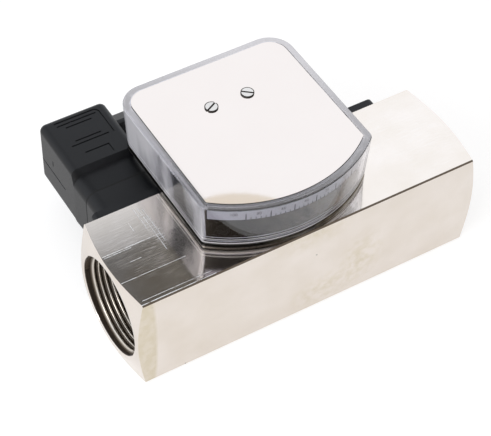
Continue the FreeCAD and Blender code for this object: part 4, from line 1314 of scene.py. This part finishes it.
@dataclass
class IndicatorHead:
    """Clear head with its plate, pointer and printed scale."""

    steps: int = 5
    step_value: int = 20
    minors: int = 5
    margin_mm: float = 0.2
    major_mm: Pair = (0.4, 3.4)
    minor_mm: Pair = (0.25, 1.3)
    number_size_mm: float = 2.0
    number_rise_mm: float = 3.2
    number_shift_mm: float = -4.6
    ink_mm: float = 0.03

    def swing(self) -> dict:
        """The pointer's joint in the record."""
        return entry(frame["joints"], "pointer_swing")

    def mark_angle(self, share: np.ndarray | float) -> np.ndarray | float:
        """Angle in radians of a share of full scale, from half the swing on the right to half on the left."""
        low, high = np.radians(self.swing()["range_deg"])
        return (high - low) * (0.5 - share)

    def strip_radius(self) -> float:
        """Radius of the strip's outer face about the pivot, in metres."""
        return self.swing()["pos_m"][1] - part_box("scale_strip")[0].y

    def curved(self, angle: np.ndarray, height: np.ndarray, radius: np.ndarray) -> np.ndarray:
        """Lay points on the scale: angle about the pivot from straight ahead, height and radius.

        Args:
            angle: angle in radians, to the right.
            height: height in metres.
            radius: distance from the pivot in metres.

        Returns:
            Points in the frame, in the last axis.
        """
        pivot = self.swing()["pos_m"]
        x = pivot[0] + radius * np.sin(angle)
        y = pivot[1] - radius * np.cos(angle)
        return np.stack(np.broadcast_arrays(x, y, height), -1)

    def ticks(self) -> bpy.types.Object:
        """Make the scale's marks: for each angle a thin curved block of ink, longer and wider at each step.

        Returns:
            All marks as one piece.
        """
        count = self.steps * self.minors + 1
        angle = self.mark_angle(np.linspace(0, 1, count))
        major = np.arange(count) % self.minors == 0
        radius = self.strip_radius()
        width, height = np.where(major[:, None], self.major_mm, self.minor_mm).T * MM
        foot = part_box("scale_strip")[0].z + self.margin_mm * MM
        sides = angle[:, None] + width[:, None] / radius * np.array([-0.5, 0.5])
        points = self.curved(
            sides[:, :, None, None],
            foot + height[:, None, None, None] * np.array([0, 1])[None, None, :, None],
            radius + np.array([0, self.ink_mm * MM])[None, None, None, :],
        )
        block = np.array([[0, 1, 3, 2], [4, 6, 7, 5], [0, 4, 5, 1], [2, 3, 7, 6], [0, 2, 6, 4], [1, 5, 7, 3]])
        faces = (block[None] + 8 * np.arange(count)[:, None, None]).reshape(-1, 4)
        return mesh_piece("scale_marks", points, faces.tolist())

    def number(self, step: int) -> bpy.types.Object:
        """Make one printed number: flat type bent round the scale at its mark.

        Args:
            step: which long mark it stands over, from zero.

        Returns:
            The number.
        """
        name = f"scale_number_{step}"
        type_face = bpy.data.curves.new(name, "FONT")
        type_face.body = str(step * self.step_value)
        type_face.size = self.number_size_mm * MM
        type_face.align_x = type_face.align_y = "CENTER"
        type_face.extrude = self.ink_mm * MM / 2
        flat = bpy.data.objects.new(name, type_face)
        mesh = bpy.data.meshes.new_from_object(flat)
        bpy.data.objects.remove(flat)
        place = np.empty(len(mesh.vertices) * 3)
        mesh.vertices.foreach_get("co", place)
        across, up, out = place.reshape(-1, 3).T
        radius = self.strip_radius() + self.ink_mm * MM / 2
        angle = self.mark_angle(step / self.steps) + (across + self.number_shift_mm * MM) / radius
        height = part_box("scale_strip")[0].z + self.number_rise_mm * MM + up
        mesh.vertices.foreach_set("co", self.curved(angle, height, radius + out).ravel())
        return riding_piece(name, mesh)

    def build(self, wardrobe: Wardrobe) -> None:
        """Print the scale and dress the head.

        Args:
            wardrobe: the finishes' materials.
        """
        prints = [self.ticks()] + [self.number(step) for step in range(self.steps + 1)]
        wardrobe.cover(INK, "pointer_black", *prints)
        wardrobe.dress(CLEAR, "clear_cover")
        wardrobe.dress(POLISHED, "top_plate")
        wardrobe.dress(SCREW, "plate_screws")
        wardrobe.dress(STEEL, "base_plate_screws", "pillar_screws", "pointer_shaft")
        wardrobe.dress(ALUMINIUM, "bearing_bridge")
        wardrobe.dress(BRASS, "pillars", "pivot_bearings")
        wardrobe.dress(FERRITE, "pointer_magnet")
        wardrobe.dress(SILICONE, "cover_gasket")
        wardrobe.dress(BASE, "base_plate")
        wardrobe.dress(ANODISED, "pointer")
        wardrobe.dress(PRINTED, "scale_strip")


@dataclass(frozen=True, kw_only=True)
class BackScrews:
    """Pan-head screws along Y, in the corners of the box that a node's screws fill."""

    node: str
    drive: Drive
    head_mm: float
    head_height_mm: float
    shank_mm: float
    recess_mm: float = 0.8
    recess_depth_mm: float = 0.8
    recess_reach: float = 0.62
    dome: float = 0.3
    first_turn: float = 0.4
    lines: int = 17
    wall: float = 0.02

    def centres(self) -> np.ndarray:
        """Find the screws' axes: the box's corners, a head's radius inwards, each once.

        Returns:
            X and Z of each axis.
        """
        low, high = (np.array(corner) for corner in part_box(self.node))
        inset = self.head_mm * MM
        x, z = (np.unique(np.round([low[way] + inset, high[way] - inset], 5)) for way in (0, 2))
        return np.stack(np.meshgrid(x, z, indexing="ij"), -1).reshape(-1, 2)

    def recess(self, s: np.ndarray, t: np.ndarray) -> np.ndarray:
        """Say where the driver's recess is cut: a bar across the head, or two short bars crossed.

        Args:
            s: place across the head, from -1 to 1.
            t: place the other way.

        Returns:
            True in the recess.
        """
        half = self.recess_mm / self.head_mm / 2 - self.wall / 2
        if self.drive is Drive.SLOT:
            return np.abs(t) < half
        shorter, longer = np.minimum(np.abs(s), np.abs(t)), np.maximum(np.abs(s), np.abs(t))
        return (shorter < half) & (longer < self.recess_reach - self.wall / 2)

    def head(self) -> tuple[np.ndarray, np.ndarray]:
        """Work out a head: a square grid in s and t, pressed into a disc.

        Across it is s sqrt(1 - t^2 / 2) and the same with s and t changed. Its height falls with the square
        of the radius and drops in the recess, and the grid's outermost lines are its foot.

        Returns:
            Place of each grid point in a disc of radius 1, and its height in millimetres.
        """
        half, reach = self.recess_mm / self.head_mm / 2, self.recess_reach
        marks = np.array([half, half - self.wall, reach, reach - self.wall, 1 + self.wall])
        line = np.unique(np.concatenate([np.linspace(-1, 1, self.lines), marks, -marks]))
        s, t = np.meshgrid(line, line, indexing="ij")
        a, b = np.clip(s, -1, 1), np.clip(t, -1, 1)
        disc = np.stack([a * np.sqrt(1 - b ** 2 / 2), b * np.sqrt(1 - a ** 2 / 2)], -1)
        height = self.head_height_mm * (1 - self.dome * (disc ** 2).sum(-1))
        height = height - self.recess_depth_mm * self.recess(s, t)
        return disc, np.where(np.maximum(np.abs(s), np.abs(t)) > 1, 0, height)

    def faces(self, number: np.ndarray, loop: np.ndarray, copies: int) -> list:
        """Number the faces: the grid without its corner cells, walls to the shank and down it, and a cap.

        Args:
            number: the grid's point numbers.
            loop: the point numbers round its foot.
            copies: how many screws there are.

        Returns:
            Point numbers of each face.
        """
        cells = np.stack([number[:-1, :-1], number[:-1, 1:], number[1:, 1:], number[1:, :-1]], -1)
        kept = np.ones(cells.shape[:2], bool)
        kept[::len(kept) - 1, ::len(kept) - 1] = False
        shank = number.size + np.arange(2 * len(loop)).reshape(2, -1)
        rings = np.concatenate([loop[None], shank])
        following = np.roll(rings, -1, 1)
        walls = np.stack([rings[:-1], following[:-1], following[1:], rings[1:]], -1).reshape(-1, 4)
        first = (shank.max() + 1) * np.arange(copies)[:, None]
        quads = np.concatenate([cells[kept], walls]) + first[:, :, None]
        return quads.reshape(-1, 4).tolist() + (rings[-1] + first).tolist()

    def build(self) -> bpy.types.Object:
        """Make the screws in place of their node, each turned a radian further than the one before.

        From a head's foot the outline goes in to the shank and down it.

        Returns:
            All screws of the node as one piece.
        """
        disc, height = self.head()
        number = np.arange(height.size).reshape(height.shape)
        loop = np.concatenate([number[1:-1, 0], number[-1, 1:-1], number[-2:0:-1, -1], number[0, -2:0:-1]])
        low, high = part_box(self.node)
        length = (high.y - low.y) / MM - self.head_height_mm
        rim = disc.reshape(-1, 2)[loop] * self.shank_mm
        across = np.concatenate([disc.reshape(-1, 2) * self.head_mm, rim, rim])
        along = np.concatenate([height.ravel(), 0 * loop, 0 * loop - length]) + length
        centres = self.centres()
        turn = (np.arange(len(centres)) + self.first_turn)[:, None]
        x = across[:, 0] * np.cos(turn) - across[:, 1] * np.sin(turn)
        y = np.broadcast_to(low.y + along * MM, x.shape)
        z = across[:, 0] * np.sin(turn) + across[:, 1] * np.cos(turn)
        points = np.stack([centres[:, :1] + x * MM, y, centres[:, 1:] + z * MM], -1)
        screws = mesh_piece(f"{self.node}_recessed", points, self.faces(number, loop, len(centres)))
        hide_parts(self.node)
        return screws


@dataclass
class ContactHousing:
    """Black housing of the reed contact on the back face."""

    lid_screws: BackScrews = BackScrews(
        node="lid_screws", drive=Drive.CROSS, head_mm=2.2, head_height_mm=1.4, shank_mm=1.2,
    )
    switch_screws: BackScrews = BackScrews(
        node="switch_screws", drive=Drive.CROSS, head_mm=2.7, head_height_mm=1.6, shank_mm=1.5,
    )

    def build(self, wardrobe: Wardrobe) -> None:
        """Make the screws and put the finishes on.

        Args:
            wardrobe: the finishes' materials.
        """
        wardrobe.cover(STEEL, "screw_steel", self.lid_screws.build(), self.switch_screws.build())
        wardrobe.dress(BLACK, "switch_base", "switch_lid", "socket")
        wardrobe.dress(GREY, "reed_holder")
        wardrobe.dress(GLASS, "reed_switch")


@dataclass
class CablePlug:
    """Square plug with its cable gland."""

    screw: BackScrews = BackScrews(
        node="plug_screw", drive=Drive.SLOT, head_mm=3.0, head_height_mm=2.0, shank_mm=1.5,
    )

    def build(self, wardrobe: Wardrobe) -> None:
        """Make the screw and put the finishes on.

        Args:
            wardrobe: the finishes' materials.
        """
        wardrobe.cover(STEEL, "screw_steel", self.screw.build())
        wardrobe.dress(BLACK, "plug_hood", "gland_nut")
        wardrobe.dress(GREY, "terminal_insert")
        wardrobe.dress(BRASS, "contact_pins")
        wardrobe.dress(RUBBER, "plug_seal", "gland_seal")


@dataclass(frozen=True, kw_only=True)
class Card:
    """Card hung over the table, seen in mirrors only: a polygon with as many corners as its outline needs."""

    name: str
    colour: str
    glow: float
    cover: float
    centre_mm: Triple
    half_mm: Pair
    corners: int
    fade_mm: Pair

    def build(self) -> None:
        """Hang the card: a regular polygon stretched over its two half sizes, fading out to +X and +Y."""
        material, surface = start_material(self.name, {
            "Base Color": linear(self.colour),
            "Roughness": 1.0,
            "Emission Color": linear(self.colour),
            "Emission Strength": self.glow,
        })
        ways = surface.add("SeparateXYZ", surface.add("TexCoord", output="Object")).node.outputs
        shares = []
        for axis, most in enumerate((self.cover, 1.0)):
            end = self.centre_mm[axis] + self.half_mm[axis]
            ends = end * MM, (end - self.fade_mm[axis]) * MM
            shares.append(surface.add("MapRange", ways[axis], *ends, 0.0, most))
        surface.set({"Alpha": surface.add("Math", *shares, operation="MULTIPLY")})
        turn = (np.arange(self.corners) + 0.5) * 2 * np.pi / self.corners
        reach = np.array(self.half_mm) / math.cos(math.pi / self.corners)
        outline = np.column_stack([reach[0] * np.cos(turn), reach[1] * np.sin(turn), 0 * turn])
        card = stage_sheet(self.name, (outline + self.centre_mm) * MM, material)
        card.visible_camera = card.visible_diffuse = card.visible_shadow = False


DARK_CARD = Card(
    name="felt_dark_grey",
    colour="#1E1B19",
    glow=0.0,
    cover=0.88,
    centre_mm=(-148.5, 352.5, 600.0),
    half_mm=(351.5, 152.5),
    corners=4,
    fade_mm=(18.0, 95.0),
)
WARM_CARD = Card(
    name="board_warm_cream",
    colour="#E8DFCB",
    glow=0.6,
    cover=0.7,
    centre_mm=(191.5, 336.0, 604.0),
    half_mm=(78.0, 78.0),
    corners=48,
    fade_mm=(4.0, 4.0),
)


@dataclass(frozen=True, kw_only=True)
class Lamp:
    """Square soft lamp that points at the object."""

    name: str
    place_m: Triple
    side_m: float
    watts: float
    mirrored: bool

    def build(self) -> None:
        """Hang the lamp, which mirrors show only where it is meant to be mirrored."""
        light = bpy.data.lights.new(self.name, "AREA")
        light.size = self.side_m
        light.energy = self.watts
        lamp = put_in_scene(self.name, light)
        lamp.location = self.place_m
        lamp.rotation_euler = (-Vector(self.place_m)).to_track_quat("-Z", "Y").to_euler()
        lamp.visible_glossy = self.mirrored


LEFT_LAMP = Lamp(name="left_lamp", place_m=(-1.1, -0.35, 0.7), side_m=0.9, watts=7.0, mirrored=True)
TOP_LAMP = Lamp(name="top_lamp", place_m=(-0.2, -0.1, 1.5), side_m=1.2, watts=4.0, mirrored=False)


@dataclass
class Studio:
    """White table, soft light and the camera."""

    azimuth_deg: float = -32.30
    elevation_deg: float = 48.36
    roll_deg: float = 1.89
    distance_mm: float = 693.4
    right_mm: float = 13.71
    up_mm: float = -21.27
    focal_px: float = 1654.0
    sensor_mm: float = 36.0
    nearest_m: float = 0.01
    floor_colour: str = "#AFAFAF"
    floor_roughness: float = 0.9
    floor_half_m: float = 4.0
    floor_drop_mm: float = 0.3
    floor_glow: float = 0.68
    floor_mirrored: float = 0.78
    sky_colour: str = "#F5F9FF"
    sky: float = 1.205
    zenith: float = 0.8
    zenith_rise: Pair = (0.8, 0.98)
    fill: float = 0.62
    dark_colour: str = "#FFEFDF"
    dark: float = 0.145
    dark_way: Triple = (0.14, -0.69, 0.71)
    dark_deg: Pair = (46.0, 34.0)
    dark_rise: Pair = (0.3, 0.46)

    def camera(self) -> None:
        """Set the camera at the photograph's view: turned, tilted and rolled about the frame's origin."""
        turn, tilt, roll = np.radians([self.azimuth_deg, self.elevation_deg, self.roll_deg]).tolist()
        side = Vector((math.cos(turn), math.sin(turn), 0))
        back = Vector((math.sin(turn) * math.cos(tilt), -math.cos(turn) * math.cos(tilt), math.sin(tilt)))
        over = back.cross(side)
        right = math.cos(roll) * side + math.sin(roll) * over
        up = math.cos(roll) * over - math.sin(roll) * side
        axes = Matrix((right, up, back)).transposed()
        place = -(axes @ Vector((self.right_mm, self.up_mm, -self.distance_mm))) * MM
        lens = bpy.data.cameras.new("camera")
        lens.sensor_fit = "HORIZONTAL"
        lens.sensor_width = self.sensor_mm
        lens.lens = self.focal_px * self.sensor_mm / PHOTO_WIDTH
        lens.clip_start = self.nearest_m
        camera = put_in_scene("camera", lens)
        camera.matrix_world = Matrix.Translation(place) @ axes.to_4x4()
        bpy.context.scene.camera = camera

    def seen(self, nodes: Nodes, mirrored: float) -> Socket:
        """Give 1 for a ray from the camera, less for one from a mirror or a clear piece, and else 0.

        Args:
            nodes: nodes of the table or the room.
            mirrored: value for mirrors and clear pieces.

        Returns:
            The value.
        """
        path = nodes.add("LightPath").node.outputs
        either = nodes.add("Math", path["Is Glossy Ray"], path["Is Transmission Ray"], operation="MAXIMUM")
        less = nodes.add("Math", either, mirrored, operation="MULTIPLY")
        return nodes.add("Math", less, path["Is Camera Ray"], operation="MAXIMUM")

    def floor(self) -> None:
        """Lay the white table, which glows a little where it is seen and keeps the object's shadow."""
        material, surface = start_material("table_white_laminate", {
            "Base Color": linear(self.floor_colour),
            "Roughness": self.floor_roughness,
            "Emission Color": linear(WHITE),
        })
        seen = self.seen(surface, self.floor_mirrored)
        surface.set({"Emission Strength": surface.add("Math", seen, self.floor_glow, operation="MULTIPLY")})
        half, height = self.floor_half_m, -self.floor_drop_mm * MM
        outline = [(-half, -half, height), (half, -half, height), (half, half, height), (-half, half, height)]
        stage_sheet("table", np.array(outline), material)

    def world(self) -> None:
        """Surround the table with a white room, dimmer as light than as a reflection, and dark in front."""
        world = bpy.data.worlds.new("white_room")
        bpy.context.scene.world = world
        world.use_nodes = True
        room = Nodes(world.node_tree, world.node_tree.nodes["Background"])
        way = room.add("TexCoord", output="Generated")
        near = room.add("VectorMath", way, self.dark_way, operation="DOT_PRODUCT", output="Value")
        front = room.add("MapRange", near, *(math.cos(math.radians(angle)) for angle in self.dark_deg))
        up = room.add("SeparateXYZ", way, output=2)
        rise = room.add("MapRange", up, *self.dark_rise)
        share = room.add("Math", front, rise, operation="MULTIPLY")
        sky = room.add("MapRange", up, *self.zenith_rise, self.sky, self.zenith)
        white = room.add("MapRange", share, 0.0, 1.0, sky, self.dark)
        mixed = {"Factor": share, "A": linear(self.sky_colour), "B": linear(self.dark_colour)}
        room.set({
            "Color": room.add("Mix", output="Result", named=mixed, data_type="RGBA"),
            "Strength": room.add("MapRange", self.seen(room, 1.0), 0.0, 1.0, self.fill, white),
        })

    def build(self) -> None:
        """Set up the table, the cards, the lamps, the room and the camera."""
        self.floor()
        for thing in (DARK_CARD, WARM_CARD, LEFT_LAMP, TOP_LAMP):
            thing.build()
        self.world()
        self.camera()
        bpy.context.scene.view_settings.view_transform = "Standard"


def clear_table() -> None:
    """Take away what the empty file holds besides the frame."""
    kept = set(frame["nodes"].values()) | set(frame["bodies"].values())
    for piece in set(bpy.data.objects) - kept:
        bpy.data.objects.remove(piece)


def corners(box: tuple) -> list:
    """Lowest and highest corner of a box as plain lists."""
    return [list(corner) for corner in box]


def main() -> None:
    """Dress the frame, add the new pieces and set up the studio."""
    logging.basicConfig(level=logging.INFO, format="%(name)s: %(message)s")
    clear_table()
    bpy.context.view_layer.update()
    wardrobe = Wardrobe()
    for assembly in (Bar(), MeasuringInsert(), IndicatorHead(), ContactHousing(), CablePlug()):
        assembly.build(wardrobe)
    Studio().build()


if __name__ == "__main__":
    main()
